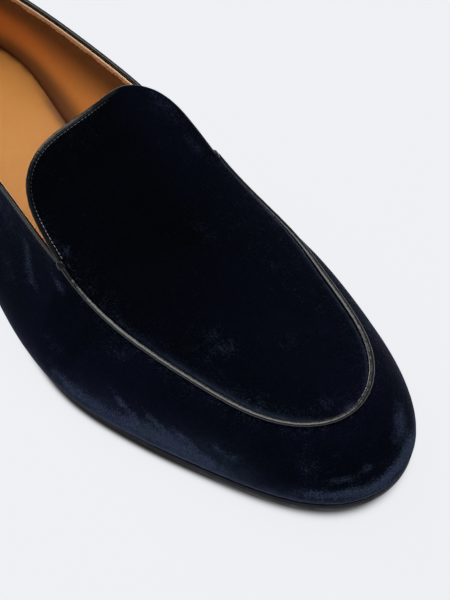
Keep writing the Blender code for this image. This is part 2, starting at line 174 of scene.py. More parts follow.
def held_curve(rows, x):
    """Height along rows, level at the first, held at its ends and never past a row."""
    stations = np.array([row[0] for row in rows], float)
    heights = np.array([row[1] for row in rows], float)
    slopes = curve_slopes(stations, heights)
    x = np.clip(x, stations[0], stations[-1])
    i = np.clip(np.searchsorted(stations, x) - 1, 0, len(stations) - 2)
    run = stations[i + 1] - stations[i]
    u = (x - stations[i]) / run
    return (
        heights[i] * (1 + 2 * u) * (1 - u) ** 2
        + slopes[i] * run * u * (1 - u) ** 2
        + heights[i + 1] * u * u * (3 - 2 * u)
        + slopes[i + 1] * run * u * u * (u - 1)
    )


def cubic(x, y, bends, left, right, run, where):
    """One span of a cubic curve, from the bends at its two ends."""
    near = where - x[left]
    far = run - near
    curved = (bends[left] * far**3 + bends[right] * near**3) / (6 * run)
    straight = (y[left] / run - bends[left] * run / 6) * far
    return curved + straight + (y[right] / run - bends[right] * run / 6) * near


def smooth_curve(rows, x):
    """Smooth curve through rows of station and value, straight beyond its ends."""
    stations = np.array([row[0] for row in rows], float)
    values = np.array([row[1] for row in rows], float)
    count = len(stations)
    run = np.diff(stations)
    rise = np.diff(values) / run
    system = np.eye(count)
    load = np.zeros(count)
    for i in range(1, count - 1):
        system[i, i - 1 : i + 2] = run[i - 1], 2 * (run[i - 1] + run[i]), run[i]
        load[i] = 6 * (rise[i] - rise[i - 1])
    bends = np.linalg.solve(system, load)
    inside = np.clip(x, stations[0], stations[-1])
    i = np.clip(np.searchsorted(stations, inside) - 1, 0, count - 2)
    first = rise[0] - run[0] * bends[1] / 6
    last = rise[-1] + run[-1] * bends[-2] / 6
    beyond = np.minimum(x - stations[0], 0) * first + np.maximum(x - stations[-1], 0) * last
    return cubic(stations, values, bends, i, i + 1, run[i], inside) + beyond


def closed_curve(angles, values, where):
    """Smooth closed curve through values at angles, of period two pi."""
    count = len(angles)
    run = np.diff(np.append(angles, angles[0] + 2 * pi))
    rise = (np.roll(values, -1) - values) / run
    system = np.zeros((count, count))
    load = np.zeros(count)
    for i in range(count):
        before = (i - 1) % count
        system[i, before] += run[before]
        system[i, i] += 2 * (run[before] + run[i])
        system[i, (i + 1) % count] += run[i]
        load[i] = 6 * (rise[i] - rise[before])
    bends = np.linalg.solve(system, load)
    where = np.mod(where - angles[0], 2 * pi) + angles[0]
    i = np.clip(np.searchsorted(angles, where, side="right") - 1, 0, count - 1)
    return cubic(angles, values, bends, i, (i + 1) % count, run[i], where)


def round_the_shoe(rows, heel, toe, angle, divide):
    """Rows of share, outer and inner value as one closed curve of the angle."""
    outer_angles = np.array([np.arccos(1 - 2 * row.share) for row in rows])
    scale = np.sin(outer_angles) if divide else np.ones(len(rows))
    outer = np.array([row.outer for row in rows]) / scale
    inner = np.array([row.inner for row in rows]) / scale
    angles = np.concatenate([[0.0], outer_angles, [pi], 2 * pi - outer_angles[::-1]])
    values = np.concatenate([[heel], outer, [toe], inner[::-1]])
    return closed_curve(angles, values, angle)


def ease(share):
    share = np.clip(share, 0, 1)
    return share * share * (3 - 2 * share)


def onset(where, span):
    """Zero up to the start of a span, one beyond its end, and a soft rise between."""
    return ease((where - span.start) / span.length)


def fade(distance, reach, power=2):
    """One at no distance, falling softly towards zero beyond a reach."""
    return np.exp(-((distance / reach) ** power))


def end_width(radius, length):
    """The width value that gives an outline this radius at its end."""
    return np.sqrt(radius * length / 2) / BALL_WIDTH


def bottom_height(s):
    return held_curve(BOTTOM_HEIGHTS, s / SOLE_LENGTH) * HEEL_HEIGHT


def seat_height(s):
    """Top of the outsole."""
    return bottom_height(s) + SOLE_THICKNESS


def heel_lean(s):
    """How far the middle of the heel end sits to the outer side."""
    return HEEL_LEAN * (1 - ease(s / SOLE_LENGTH / HEEL_LEAN_LENGTH))


def feather_plan(angle):
    """The line where the upper meets the sole, as x and s."""
    heel = end_width(HEEL_RADIUS, SOLE_LENGTH)
    toe = end_width(TOE_RADIUS, SOLE_LENGTH)
    half = round_the_shoe(FEATHER_WIDTHS, heel, toe, angle, True) * BALL_WIDTH
    s = SOLE_LENGTH / 2 * (1 - np.cos(angle))
    lean = TOE_LEAN * onset(s / SOLE_LENGTH, TOE_LEAN_SPAN)
    return np.stack([heel_lean(s) + lean - half * np.sin(angle), s], -1)


def edge_lean(s):
    return APRON_LEAN * onset(s / SOLE_LENGTH, APRON_LEAN_SPAN)


def edge_plan(angle):
    length = APRON_FRONT - COLLAR_BACK
    heel = end_width(COLLAR_BACK_RADIUS, length)
    toe = end_width(APRON_FRONT_RADIUS, length)
    half = round_the_shoe(EDGE_WIDTHS, heel, toe, angle, True) * BALL_WIDTH
    s = COLLAR_BACK + length / 2 * (1 - np.cos(angle))
    return np.stack([heel_lean(s) + edge_lean(s) - half * np.sin(angle), s], -1)


def top_height(x, s):
    """Height of the plug and the tongue."""
    fall = smooth_curve(CROWN_FALLS, np.clip(s, CROWN_FALLS[0].station, CROWN_FALLS[-1].station))
    return smooth_curve(SPINE_HEIGHTS, s) * INSTEP_HEIGHT - fall * (x - edge_lean(s)) ** 2


def tack_angle():
    """The angle at which the outer side's tack sits."""
    return float(np.arccos(1 - 2 * (TACK_STATION - COLLAR_BACK) / (APRON_FRONT - COLLAR_BACK)))


def collar_height(s, tack_height):
    return smooth_curve(COLLAR_HEIGHTS + [Height(TACK_STATION, tack_height)], s)


def edge_line(angle):
    """The top of the wall: the apron seam, then the collar behind the tacks."""
    plan = edge_plan(angle)
    x = plan[:, 0]
    s = plan[:, 1]
    tacks = edge_plan(np.array([tack_angle(), 2 * pi - tack_angle()]))
    outer, inner = top_height(tacks[:, 0], tacks[:, 1])
    on_outer = np.mod(angle, 2 * pi) < pi
    collar = np.where(on_outer, collar_height(s, outer), collar_height(s, inner))
    return np.column_stack([x, s, np.where(s < TACK_STATION - GAP, collar, top_height(x, s))])


def outward(loop):
    """Unit directions away from a closed loop that runs heel, outer side, toe, inner side."""
    along = np.roll(loop, -1, axis=0) - np.roll(loop, 1, axis=0)
    away = np.stack([-along[:, 1], along[:, 0]], -1)
    return away / np.linalg.norm(away, axis=1)[:, None]


def flat(directions):
    return np.column_stack([directions, np.zeros(len(directions))])


def unit(vectors):
    return vectors / np.linalg.norm(vectors, axis=-1, keepdims=True)


def wall_top_direction(away, s):
    """Where the wall heads as it leaves the edge line, outward and down."""
    change = onset(s - TACK_STATION, LEAN_CHANGE)
    lean = np.radians(COLLAR_LEAN_DEG + (VAMP_LEAN_DEG - COLLAR_LEAN_DEG) * change)
    return np.column_stack([away * np.cos(lean)[:, None], -np.sin(lean)])


def wall_rows(angle):
    """Rows of points up the wall, from the feather line to the edge line."""
    feather = feather_plan(angle)
    away = outward(feather)
    foot = np.column_stack([feather, seat_height(feather[:, 1]) + GAP])
    top = edge_line(angle)
    rise = (top[:, 2] - foot[:, 2])[:, None]
    bulge = round_the_shoe(BULGES, HEEL_BULGE, TOE_BULGE, angle, False)[:, None]
    low = foot + flat(away) * bulge * BULGE_PULL + np.array([0, 0, FOOT_PULL]) * rise
    high = top + wall_top_direction(away, top[:, 1]) * rise * EDGE_PULL
    v = np.linspace(0, 1, WALL_ROWS + 1)[:, None, None]
    return (1 - v) ** 3 * foot + 3 * (1 - v) ** 2 * v * low + 3 * (1 - v) * v * v * high + v**3 * top


def upper_angles():
    """Angles from the outer tack round the toe to the inner tack, then round the heel."""
    tack = tack_angle()
    front = np.linspace(tack, 2 * pi - tack, VAMP_STEPS + 1)
    back = np.linspace(2 * pi - tack + COLLAR_CLEARANCE, 2 * pi + tack - COLLAR_CLEARANCE, COLLAR_STEPS + 1)
    return np.concatenate([front, back])


def in_order(angle):
    """The same angles from 0 up, and the order that brings them back."""
    turned = np.mod(angle, 2 * pi)
    order = np.argsort(turned)
    back = np.empty(len(order), int)
    back[order] = np.arange(len(order))
    return turned[order], back


def upper_rows():
    """Rows of points up the wall, each in the order of the upper's angles."""
    turned, back = in_order(upper_angles())
    return wall_rows(turned)[:, back]


def tongue_grid():
    """Points over the tongue, from the row between the tacks back to its rounded top."""
    u = np.linspace(-1, 1, PLUG_COLUMNS + 1)[None, :]
    v = np.linspace(0, 1, TONGUE_ROWS + 1)[:, None]
    across = u * np.sqrt(1 - v * v / 2)
    back = v * np.sqrt(1 - u * u / 2)
    turn = np.arctan2(back, across)
    power = TONGUE_SQUARENESS
    reach = (np.abs(np.cos(turn)) ** power + np.abs(np.sin(turn)) ** power) ** (-1 / power)
    stretch = 1 + (reach - 1) * np.hypot(across, back)
    across = across * stretch
    back = back * stretch
    ends = edge_plan(np.array([tack_angle(), 2 * pi - tack_angle()]))[:, 0]
    s = TACK_STATION - (TACK_STATION - TONGUE_TOP) * back
    half = (ends[1] - ends[0]) / 2 * (1 + (TONGUE_FLARE - 1) * back)
    x = (ends[0] + ends[1]) / 2 + half * across
    level = TONGUE_FLAT * fade(x - TONGUE_FLAT_MIDDLE, TONGUE_FLAT_WIDTH)
    level -= TONGUE_CORNER * fade(x - TONGUE_CORNER_MIDDLE, TONGUE_CORNER_WIDTH)
    s = s + level * back**4
    x = x + TONGUE_NARROW * back**2 * np.clip(-across, 0, 1)
    return np.stack([x, s, top_height(x, s)], -1)


def plug_rows(seam):
    """Points inside the apron seam, a row across for each pair of seam points."""
    share = np.linspace(0, 1, PLUG_COLUMNS + 1)[:, None]
    rows = []
    for k in range(1, VAMP_STEPS // 2):
        left = seam[k]
        right = seam[VAMP_STEPS - k]
        row = left + (right - left) * share
        row[:, 2] = top_height(row[:, 0], row[:, 1])
        rows.append(row)
    return rows


# Looks: sheets and their edges, in millimetres
VELVET_THICKNESS = 1.1
VELVET_CLEARANCE = 0.02
LINING_DEPTH = 1.3
LINING_DEPTH_INSIDE = 2.0
PLUG_LINING_DEPTH = 1.6
LINING_SKIVE = 14.0
LINING_THICKNESS = 0.5
EDGE_DROP = 0.7
VAMP_EDGE_DROP = 0.1
TONGUE_EDGE_DROP = 0.25
EDGE_DROP_REACH = 1.7
TIP_NEARNESS = 0.9
VALLEY_DEPTH = 3.2
VALLEY_RISE = 4.5
VALLEY_HEEL_SHARE = 0.85
VALLEY_HEEL = Span(10.0, 85.0)
SOCK_EDGE = 1.9
TAPE_TOP = 0.9
TAPE_PROUD = 0.22
TAPE_FOOT_LIFT = 0.2
TAPE_THICKNESS = 0.45
TAPE_PITCH = 0.4
RAW_EDGE = 4.4
RAW_EDGE_WAVE = 0.8
RAW_EDGE_PERIOD = 13.0
RAW_EDGE_TOOTH = 0.8
RAW_EDGE_TOOTH_PERIOD = 2.5

# The tape's rows from its top to its foot: shares of its reach, how raw they look, and their painted shade, a
# shadow along its foot
TAPE_SHARES = np.array([0.0, 0.35, 0.7, 0.86, 1.0])
TAPE_RAW = [[1.0], [1.0], [1.0], [0.9], [0.25]]
TAPE_SHADE = [[0.0], [0.0], [0.0], [0.0], [0.9]]

# Where the inner side's seam hides behind the plug, and how much of the drop of its edges goes there
SEAM_SINK = 1.7
SEAM_SINK_SPAN = Span(194.0, 28.0)
SEAM_SINK_SHARE = 0.85

# The trim and its stitches
STRIP_PITCH = 0.55
STITCH_SHARE = 0.84
STITCH_RADIUS = 0.17
STITCH_BOW = 0.25
THREAD_SIDES = 6
TONGUE_SINK = 0.9
TONGUE_SINK_SPAN = Span(4.0, 24.0)
PIPING_HEIGHT = 1.35
PIPING_SHIFT = 0.05
PIPING_LEAN = -27
PIPING_THINNER = 0.22
PIPING_MATT = -0.03
SEAM_SMOOTHING = 6
SEAM_STEP = 3
SLOPE_ROW = -4
PIPING_THIN_SPAN = Span(6, 55)
PIPING_MATT_SPAN = Span(10, 50)
STITCH_RINGS = np.array([(-1.0, 0.15), (-0.85, 0.75), (-0.4, 1.0), (0.4, 1.0), (0.85, 0.75), (1.0, 0.15)])

Arc = namedtuple("Arc", "radius end steps")
Wave = namedtuple("Wave", "size period")
Pucker = namedtuple("Pucker", "depth period reach")
Margin = namedtuple("Margin", "strength reach")
Patch = namedtuple("Patch", "along across length width strength slant")
Fold = namedtuple("Fold", "reach out under stitches pitch sink smoothing")

# The bead's section: arcs that run into each other, turned in degrees from straight up, and a foot
BEAD_CENTRE = (0.45, -0.85)
BEAD_START = 110
BEAD_ARCS = [Arc(0.85, PIPING_LEAN, 11), Arc(4.0, -44, 5), Arc(0.35, -105, 3)]
BEAD_FOOT = [(-1.2, -2.4), (0.8, -2.4)]
BEAD_WRINKLES = [Wave(0.012, 2.6), Wave(0.018, 7.1)]
BEAD_SHIFTS = [Wave(0.06, 5.3)]

# The folded leather's face, in shares of its reach from the far end, and how far it drops there
FOLD_SHARES = (1.0, 0.975, 0.91, 0.83, 0.73, 0.62, 0.51, 0.40, 0.22)
FOLD_DROPS = (0.30, 0.05, -0.06, 0.00, 0.20, 0.22, 0.02, -0.03, 0.03)
FOLD_ROUND = 0.6
FOLD_CORE = 0.2
FOLD_PINCH = 0.04
FOLD_PINCH_AT = 0.6
FOLD_PINCH_WIDTH = 0.7
FOLD_WAVES = [Wave(0.04, 6.7)]
FOLD_SHIFTS = [Wave(0.05, 5.1)]
COLLAR_FOLD = Fold(1.45, 0.34, -1.20, 0.9, 2.0, -0.04, 4)
TONGUE_FOLD = Fold(1.1, 0.30, -1.70, 1.6, 1.7, -0.30, 6)

# The tack: a pad of rings, each with its share of the size and its rise, and threads across it
TACK_SINK = 0.8
TACK_RINGS = ((0.96, 0.0), (1.0, 0.5), (0.95, 0.85), (0.82, 1.08), (0.6, 1.2), (0.3, 1.26))
TACK_LENGTH = 1.9
TACK_WIDTH = 1.7
TACK_THREADS = (-1.0, -0.35, 0.3, 0.95)
TACK_THREAD_RISE = 1.2
TACK_THREAD_REACH = 1.8
TACK_THREAD_BOW = 0.9
TACK_THREAD_RADIUS = 0.2
TACK_THREAD_TAPER = 0.5
TACK_SQUARENESS = 3

# Edges of the sole and the insole, from the upper face down: the inset and the level, one at the top
SOLE_EDGE = table(Edge, [
    (0.9, 1.0), (0.45, 0.985), (0.18, 0.93), (0.05, 0.84), (0.22, 0.77), (0.02, 0.70), (0.0, 0.45),
    (0.03, 0.22), (0.20, 0.09), (0.55, 0.02), (1.0, 0.0), (5.0, 0.0), (5.4, 0.06), (5.8, 0.0),
])
INSOLE_EDGE = table(Edge, [(0.55, 1.0), (0.2, 0.95), (0.02, 0.82), (0.0, 0.5), (0.0, 0.0)])

# The heel: its lift's edge, where the level is zero at the top, and the hollow of the insole over it,
# where along is x and across is s
LIFT_EDGE = table(Edge, [(0.35, 0.0), (0.05, 0.06), (0.0, 0.2), (0.0, 0.8), (0.1, 0.92), (0.5, 1.0)])
HEEL_HOLLOW = Patch(-3, 45, 48, 80, 0.25, 0)
HEEL_GROOVES = (0.0, 0.34, 0.67, 1.0)
HEEL_GROOVE_DEPTH = 0.22
HEEL_GROOVE_WIDTH = 0.035
HEEL_LEVELS = 25
SHARP_ANGLE = 35

# Shares of the gap that stay open over the heel and over its lift
HEEL_TOP_GAP = 0.2
LIFT_TOP_GAP = 0.9

# Points outside the shoe, which tell the outside of a sheet from its inside
BESIDE_QUARTER = (-90, 150, 30)
BESIDE_COLLAR = (-90, 100, 60)
OVER_PLUG = (0, 200, 120)
OVER_FLOOR = (300, 150, 500)

# Rates and starts of the waves that make up a ripple
RIPPLE_PARTS = ((1.0, 1.3), (1.73, 0.4), (0.61, 2.1))

# Puckers where the velvet is pulled in, wear of its edges, a painted highlight by the tongue's edge, and
# painted sheen beside the plug's seam
SEAM_PUCKER = Pucker(0.14, 9.0, 6.0)
SEAM_PUCKER_SPAN = Span(0, 12.0)
SOLE_PUCKER = Pucker(0.18, 8.0, 5.0)
VAMP_SEAM_WEAR = Margin(0.9, 2.2)
PLUG_SEAM_WEAR = Margin(0.65, 3.0)
TONGUE_HIGHLIGHT = Margin(0.9, 2.4)
SOLE_WEAR = Margin(0.25, 3.0)
TOE_WEAR = Patch(0, 7, 80, 11.0, 0.8, 0)
GLOW_POWER = 2.4
PLUG_GLOW = Margin(1.2, 1.9)
PLUG_GLOW_SPAN = Span(12.0, 60.0)

# The looks of the one point at the tip of the plug
TIP_LOOKS = {"nap": 0.0, "specks": 0.5, "glow": 1.0, "shade": 0.35}

# Where a painted highlight lies by the tongue's edge: by x along its top, and by s along its outer side
HIGHLIGHT_TOP = 0.42
HIGHLIGHT_TOP_MIDDLE = -12
HIGHLIGHT_TOP_REACH = 20
HIGHLIGHT_TOP_END = 136
HIGHLIGHT_SIDE_MIDDLE = 150
HIGHLIGHT_SIDE_REACH = 11
HIGHLIGHT_SIDE_END = -20

# Painted shade on the plug: darkest at its back, lighter towards its front, and from its middle towards the
# inner side
PLUG_FRONT_LIGHT = 0.65
PLUG_FRONT = Span(160.0, 90.0)
PLUG_SIDE_LIGHT = 0.75
PLUG_SIDE = Span(2.0, 28.0)

# Painted shade at the insole's edge: a thin dark line, a soft band, and a wider one by the arch
SOCK_LINE = 0.85
SOCK_BAND = Margin(0.45, 3.2)
SOCK_ARCH = 0.9
SOCK_ARCH_WIDTH = 4.4
SOCK_ARCH_SIDE = Span(0, 12)
SOCK_ARCH_START = Span(52, 24)
SOCK_ARCH_END = Span(105, 40)

# Painted shade on the lining, darker towards the insole and towards the collar
LINING_FOOT_SHADE = 0.92
LINING_FOOT_RISE = 9.2
LINING_TOP_SHADE = 0.90
LINING_TOP = Span(11.0, 23.0)

# Soft creases of the wall. Along goes by the sole's edge from the tip of the toe, negative on the
# outer side, and across goes up the wall. Length, width and strength, here a depth, are in
# millimetres, and the slant is in degrees from the way along.
WALL_TROUGHS = table(Patch, [
    (-147, 34, 34, 5.0, 0.35, 62), (-132, 30, 38, 5.5, 0.45, 68), (-117, 27, 34, 5.0, 0.35, 74),
    (-103, 24, 30, 5.0, 0.28, 80), (-158, 42, 20, 3.5, 0.35, 40), (-80, 16, 34, 6.0, 0.25, 12),
    (-52, 18, 26, 5.0, 0.22, -10), (-199, 30, 46, 9.0, 0.40, 8), (-261, 34, 50, 10.0, 0.40, -6),
    (142, 34, 34, 5.0, 0.35, -62), (128, 30, 38, 5.5, 0.45, -70), (113, 26, 32, 5.0, 0.32, -76),
    (158, 40, 20, 3.5, 0.35, -42), (84, 16, 34, 6.0, 0.25, -10), (50, 18, 24, 5.0, 0.22, 8),
    (203, 26, 46, 9.0, 0.40, -6), (259, 34, 50, 10.0, 0.40, 6),
])

# Soft creases of the plug and the tongue, where along is x and across is s
PLUG_TROUGHS = table(Patch, [
    (-2, 196, 60, 8.0, 0.30, 88), (4, 212, 50, 8.0, 0.25, 94), (0, 178, 56, 9.0, 0.30, 86),
    (-24, 150, 26, 5.0, 0.25, 20), (24, 150, 26, 5.0, 0.25, -20), (6, 245, 34, 9.0, 0.18, 40),
])

# Where the nap is brushed and looks pale
WALL_NAP = table(Patch, [
    (-164, 43, 13, 5.5, 0.42, -15), (-149, 53, 9, 4.5, 0.55, -15), (-171, 49, 12, 5.0, 0.42, -30),
    (-178, 34, 14, 7.0, 0.26, 0), (-195, 50, 40, 14.0, 0.24, 0), (-143, 29, 16, 6.0, 0.25, -12),
    (-115, 42, 18, 7.0, 0.20, 5), (-134, 17, 24, 8.0, 0.50, -10), (-118, 15, 32, 10.0, 0.50, -6),
    (-98, 16, 36, 11.0, 0.60, -4), (-82, 14, 32, 11.0, 0.60, -4), (-66, 12, 26, 9.0, 0.45, -4),
    (-108, 24, 16, 4.0, 0.50, -28), (-93, 23, 14, 4.0, 0.50, -28), (-80, 21, 12, 3.5, 0.50, -25),
    (-64, 21, 12, 4.0, 0.45, -20), (-55, 20, 10, 5.0, 0.40, 0), (-50, 4, 60, 7.0, 0.40, 0),
    (-120, 4, 90, 8.0, 0.35, 0), (-25, 24, 11, 9.0, 0.30, 20), (-29, 12, 11, 5.0, 0.50, 0),
    (-18, 11, 16, 4.5, 0.85, 5), (-8, 9, 12, 4.5, 0.95, 0), (-15, 17, 12, 3.0, 0.45, 0),
    (-6, 18, 5, 3.0, 0.45, 0), (2, 10, 12, 5.0, 0.85, 0), (11, 11, 14, 6.0, 0.80, 0),
    (15, 20, 16, 10.0, 0.60, 20), (26, 8, 24, 6.5, 0.80, 0), (48, 8, 26, 8.5, 0.80, 0),
    (62, 12, 18, 9.0, 0.65, 0), (52, 29, 20, 9.0, 0.25, 0), (118, 13, 60, 10.0, 0.45, 0),
    (176, 24, 40, 12.0, 0.35, 10), (240, 28, 50, 14.0, 0.35, -10), (-240, 28, 50, 14.0, 0.35, 10),
    (300, 22, 40, 10.0, 0.40, 0),
])

# Painted sheen: where the nap is painted evenly pale as if lit, strongest at the sole, up to the rise that
# the width gives
WALL_GLOW = table(Patch, [
    (-94, 0, 88, 17.0, 1.05, 0), (-130, 0, 90, 14.0, 0.80, 0), (-48, 0, 70, 9.5, 0.85, 0),
    (-12, 0, 54, 8.5, 0.9, 0), (40, 0, 70, 11.0, 0.32, 0), (110, 0, 90, 16.0, 0.60, 0),
    (-200, 0, 90, 14.0, 0.15, 0),
])

# Where the nap of the plug and the tongue is brushed, where along is x and across is s
PLUG_NAP = table(Patch, [
    (2, 264, 8, 6.0, 0.25, 0), (-17, 246, 14, 8.0, 0.22, 50), (32, 154, 10, 6.0, 0.30, 90),
    (12, 183, 16, 10.0, 0.14, 60), (32, 136, 22, 12.0, 0.22, 90), (-36, 157, 7, 4.0, 0.36, 90),
    (-13, 220, 20, 13.0, 0.23, 60), (26, 205, 70, 14.0, 0.10, 90), (8, 236, 12, 7.0, 0.18, 20),
])

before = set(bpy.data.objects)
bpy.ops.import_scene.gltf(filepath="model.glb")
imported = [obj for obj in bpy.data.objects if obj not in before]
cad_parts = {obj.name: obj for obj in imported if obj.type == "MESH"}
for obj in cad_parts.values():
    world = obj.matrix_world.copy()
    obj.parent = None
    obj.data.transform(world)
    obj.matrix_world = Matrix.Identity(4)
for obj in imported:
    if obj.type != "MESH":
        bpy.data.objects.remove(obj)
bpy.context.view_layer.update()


def scene_points(points):
    points = np.asarray(points, float)
    moved = [points[..., 0] - MIDDLE_X, MIDDLE_S - points[..., 1], points[..., 2]]
    return np.stack(moved, -1) * METRES


def turns(count):
    """Angles evenly round a full turn."""
    return np.linspace(0, 2 * pi, count + 1)[:-1]


def facing(vectors, towards):
    """The same vectors, turned round where they point away from another direction."""
    return vectors * np.sign(np.sum(vectors * towards, axis=-1, keepdims=True))


def square_to(vectors, along):
    """Unit vectors square to the way along, in the plane that each makes with it."""
    return unit(vectors - along * np.sum(vectors * along, axis=1)[:, None])


def surface_normals(grid, closed, towards):
    """Unit normals of a grid of points, on the side where towards says."""
    if closed:
        along = np.roll(grid, -1, axis=1) - np.roll(grid, 1, axis=1)
    else:
        along = np.gradient(grid, axis=1)
    return facing(unit(np.cross(along, np.gradient(grid, axis=0))), towards)


def run_lengths(grid, axis):
    """Length run along an axis of a grid of points, from its first row."""
    step = np.linalg.norm(np.diff(grid, axis=axis), axis=-1)
    start = np.zeros_like(np.take(step, [0], axis=axis))
    return np.concatenate([start, np.cumsum(step, axis=axis)], axis=axis)


def bell(patch, along, across):
    """A soft patch of a sheet at each place, strongest in its middle."""
    turn = np.radians(patch.slant)
    along = along - patch.along
    across = across - patch.across
    far = along * np.cos(turn) + across * np.sin(turn)
    near = across * np.cos(turn) - along * np.sin(turn)
    return patch.strength * np.exp(-((far / (patch.length / 2)) ** 2) - (near / (patch.width / 2)) ** 2)


def patches(rows, along, across):
    """The sum of soft patches at each place."""
    return sum(bell(row, along, across) for row in rows)


def ripple(run, period):
    """An uneven wave along a run, between minus one and one."""
    turn = 2 * pi * run / period
    return sum(np.sin(rate * turn + start) for rate, start in RIPPLE_PARTS) / len(RIPPLE_PARTS)


def waves(run, rows):
    """Uneven waves of several periods together, as a column."""
    return sum(row.size * ripple(run, row.period) for row in rows)[:, None]


def puckered(pucker, run, distance):
    """Depth of the puckers beside an edge."""
    return pucker.depth * ripple(run, pucker.period) * fade(distance, pucker.reach, 1)


def by_edge(margin, distance, power=1):
    """A margin by an edge, strongest at the edge."""
    return margin.strength * fade(distance, margin.reach, power)


def grid_faces(rows, columns, closed):
    faces = []
    last = columns if closed else columns - 1
    for k in range(rows - 1):
        for j in range(last):
            beside = (j + 1) % columns
            low = k * columns
            high = low + columns
            faces.append((low + j, low + beside, high + beside, high + j))
    return faces


def tube_faces(rows, columns, first=0):
    """Faces of a closed tube of rings with flat ends, its points counted from first."""
    ends = [range(columns), range((rows - 1) * columns, rows * columns)]
    return [tuple(first + i for i in face) for face in grid_faces(rows, columns, True) + ends]


def make_piece(name, points, faces, material, outward_point=None):
    """A mesh object from points in millimetres, with its normals outward."""
    mesh = bpy.data.meshes.new(name)
    mesh.from_pydata(scene_points(points).reshape(-1, 3).tolist(), [], faces)
    work = bmesh.new()
    work.from_mesh(mesh)
    bmesh.ops.recalc_face_normals(work, faces=work.faces)
    if outward_point is not None:
        spot = Vector(scene_points(outward_point))
        work.faces.ensure_lookup_table()
        near = min(work.faces, key=lambda face: (face.calc_center_median() - spot).length)
        if near.normal.dot(spot - near.calc_center_median()) < 0:
            bmesh.ops.reverse_faces(work, faces=work.faces)
    elif work.calc_volume(signed=True) < 0:
        bmesh.ops.reverse_faces(work, faces=work.faces)
    work.to_mesh(mesh)
    work.free()
    mesh.shade_smooth()
    mesh.materials.append(material)
    piece = bpy.data.objects.new(name, mesh)
    bpy.context.scene.collection.objects.link(piece)
    return piece


def make_sheet(name, grid, closed, material, outward_point):
    return make_piece(name, grid, grid_faces(*grid.shape[:2], closed), material, outward_point)


def make_tube(name, rings, material):
    rings = np.array(rings)
    return make_piece(name, rings, tube_faces(*rings.shape[:2]), material)


def paint(piece, name, values):
    """A value at each point of a piece, for its material. A piece without it has zero there."""
    layer = piece.data.attributes.new(name, "FLOAT", "POINT")
    layer.data.foreach_set("value", np.asarray(values, np.float32).ravel())


def lay_map(piece, flat_points):
    """The cloth's map of a piece from a place in millimetres at each point."""
    layer = piece.data.uv_layers.new(name="cloth")
    corners = np.zeros(len(piece.data.loops), int)
    piece.data.loops.foreach_get("vertex_index", corners)
    flat_points = np.asarray(flat_points, float).reshape(-1, 2)[corners] * METRES
    layer.data.foreach_set("uv", flat_points.ravel())


def thicken(piece, thickness):
    """Gives a sheet a thickness, inward from its points, and applies it."""
    solid = piece.modifiers.new("thickness", "SOLIDIFY")
    solid.thickness = thickness * METRES
    solid.offset = -1.0
    solid.use_rim = True
    bpy.context.view_layer.update()
    shape = bpy.data.meshes.new_from_object(piece.evaluated_get(bpy.context.evaluated_depsgraph_get()))
    old = piece.data
    piece.modifiers.clear()
    piece.data = shape
    bpy.data.meshes.remove(old)


# Sockets of the mix node that take and give colours
MIX_FACTOR = 0
MIX_FIRST = 6
MIX_SECOND = 7
MIX_RESULT = 2


class Look:
    """A material, with short calls that add nodes to it."""

    def __init__(self, name, **constants):
        self.material = bpy.data.materials.new(name)
        self.material.use_nodes = True
        self.tree = self.material.node_tree
        self.shader = self.tree.nodes["Principled BSDF"]
        for socket, value in constants.items():
            self.shader.inputs[socket.replace("_", " ")].default_value = value

    def link(self, socket, value):
        self.tree.links.new(value, self.shader.inputs[socket])

    def node(self, kind, values=None, **settings):
        node = self.tree.nodes.new(kind)
        for name, value in settings.items():
            setattr(node, name, value)
        for socket, value in (values or {}).items():
            if isinstance(value, bpy.types.NodeSocket):
                self.tree.links.new(value, node.inputs[socket])
            else:
                node.inputs[socket].default_value = value
        return node

    def place(self):
        return self.node("ShaderNodeTexCoord").outputs["Object"]

    def cloth_place(self):
        return self.node("ShaderNodeUVMap", uv_map="cloth").outputs["UV"]

    def attribute(self, name):
        return self.node("ShaderNodeAttribute", attribute_name=name).outputs["Fac"]

    def noise(self, vector, scale, detail=3.0, roughness=0.55, stretch=None):
        if stretch is not None:
            vector = self.node("ShaderNodeMapping", {"Vector": vector, "Scale": stretch}).outputs["Vector"]
        values = {"Vector": vector, "Scale": scale, "Detail": detail, "Roughness": roughness}
        return self.node("ShaderNodeTexNoise", values).outputs["Fac"]

    def pebbles(self, vector, scale):
        return self.node("ShaderNodeTexVoronoi", {"Vector": vector, "Scale": scale}).outputs["Distance"]

    def ramp(self, value, low, high, to_low=0.0, to_high=1.0):
        """A smooth step of a value from one range to another."""
        values = {"Value": value, "From Min": low, "From Max": high, "To Min": to_low, "To Max": to_high}
        return self.node("ShaderNodeMapRange", values, interpolation_type="SMOOTHSTEP").outputs["Result"]

    def maths(self, kind, *values):
        """One sum after another over the values."""
        total = values[0]
        for value in values[1:]:
            total = self.node("ShaderNodeMath", {0: total, 1: value}, operation=kind).outputs[0]
        return total

    def add(self, *values):
        return self.maths("ADD", *values)

    def times(self, *values):
        return self.maths("MULTIPLY", *values)

    def swing(self, value, size):
        """A noise about zero, of a size."""
        return self.times(self.maths("SUBTRACT", value, 0.5), size)

    def mix(self, factor, *colours):
        """A mix of two colours, each a link or three numbers."""
        ends = [colour if isinstance(colour, bpy.types.NodeSocket) else (*colour, 1.0) for colour in colours]
        values = {MIX_FACTOR: factor, MIX_FIRST: ends[0], MIX_SECOND: ends[1]}
        return self.node("ShaderNodeMix", values, data_type="RGBA").outputs[MIX_RESULT]

    def bump(self, height, distance, strength=1.0):
        node = self.node("ShaderNodeBump", {"Height": height, "Distance": distance, "Strength": strength})
        self.link("Normal", node.outputs["Normal"])


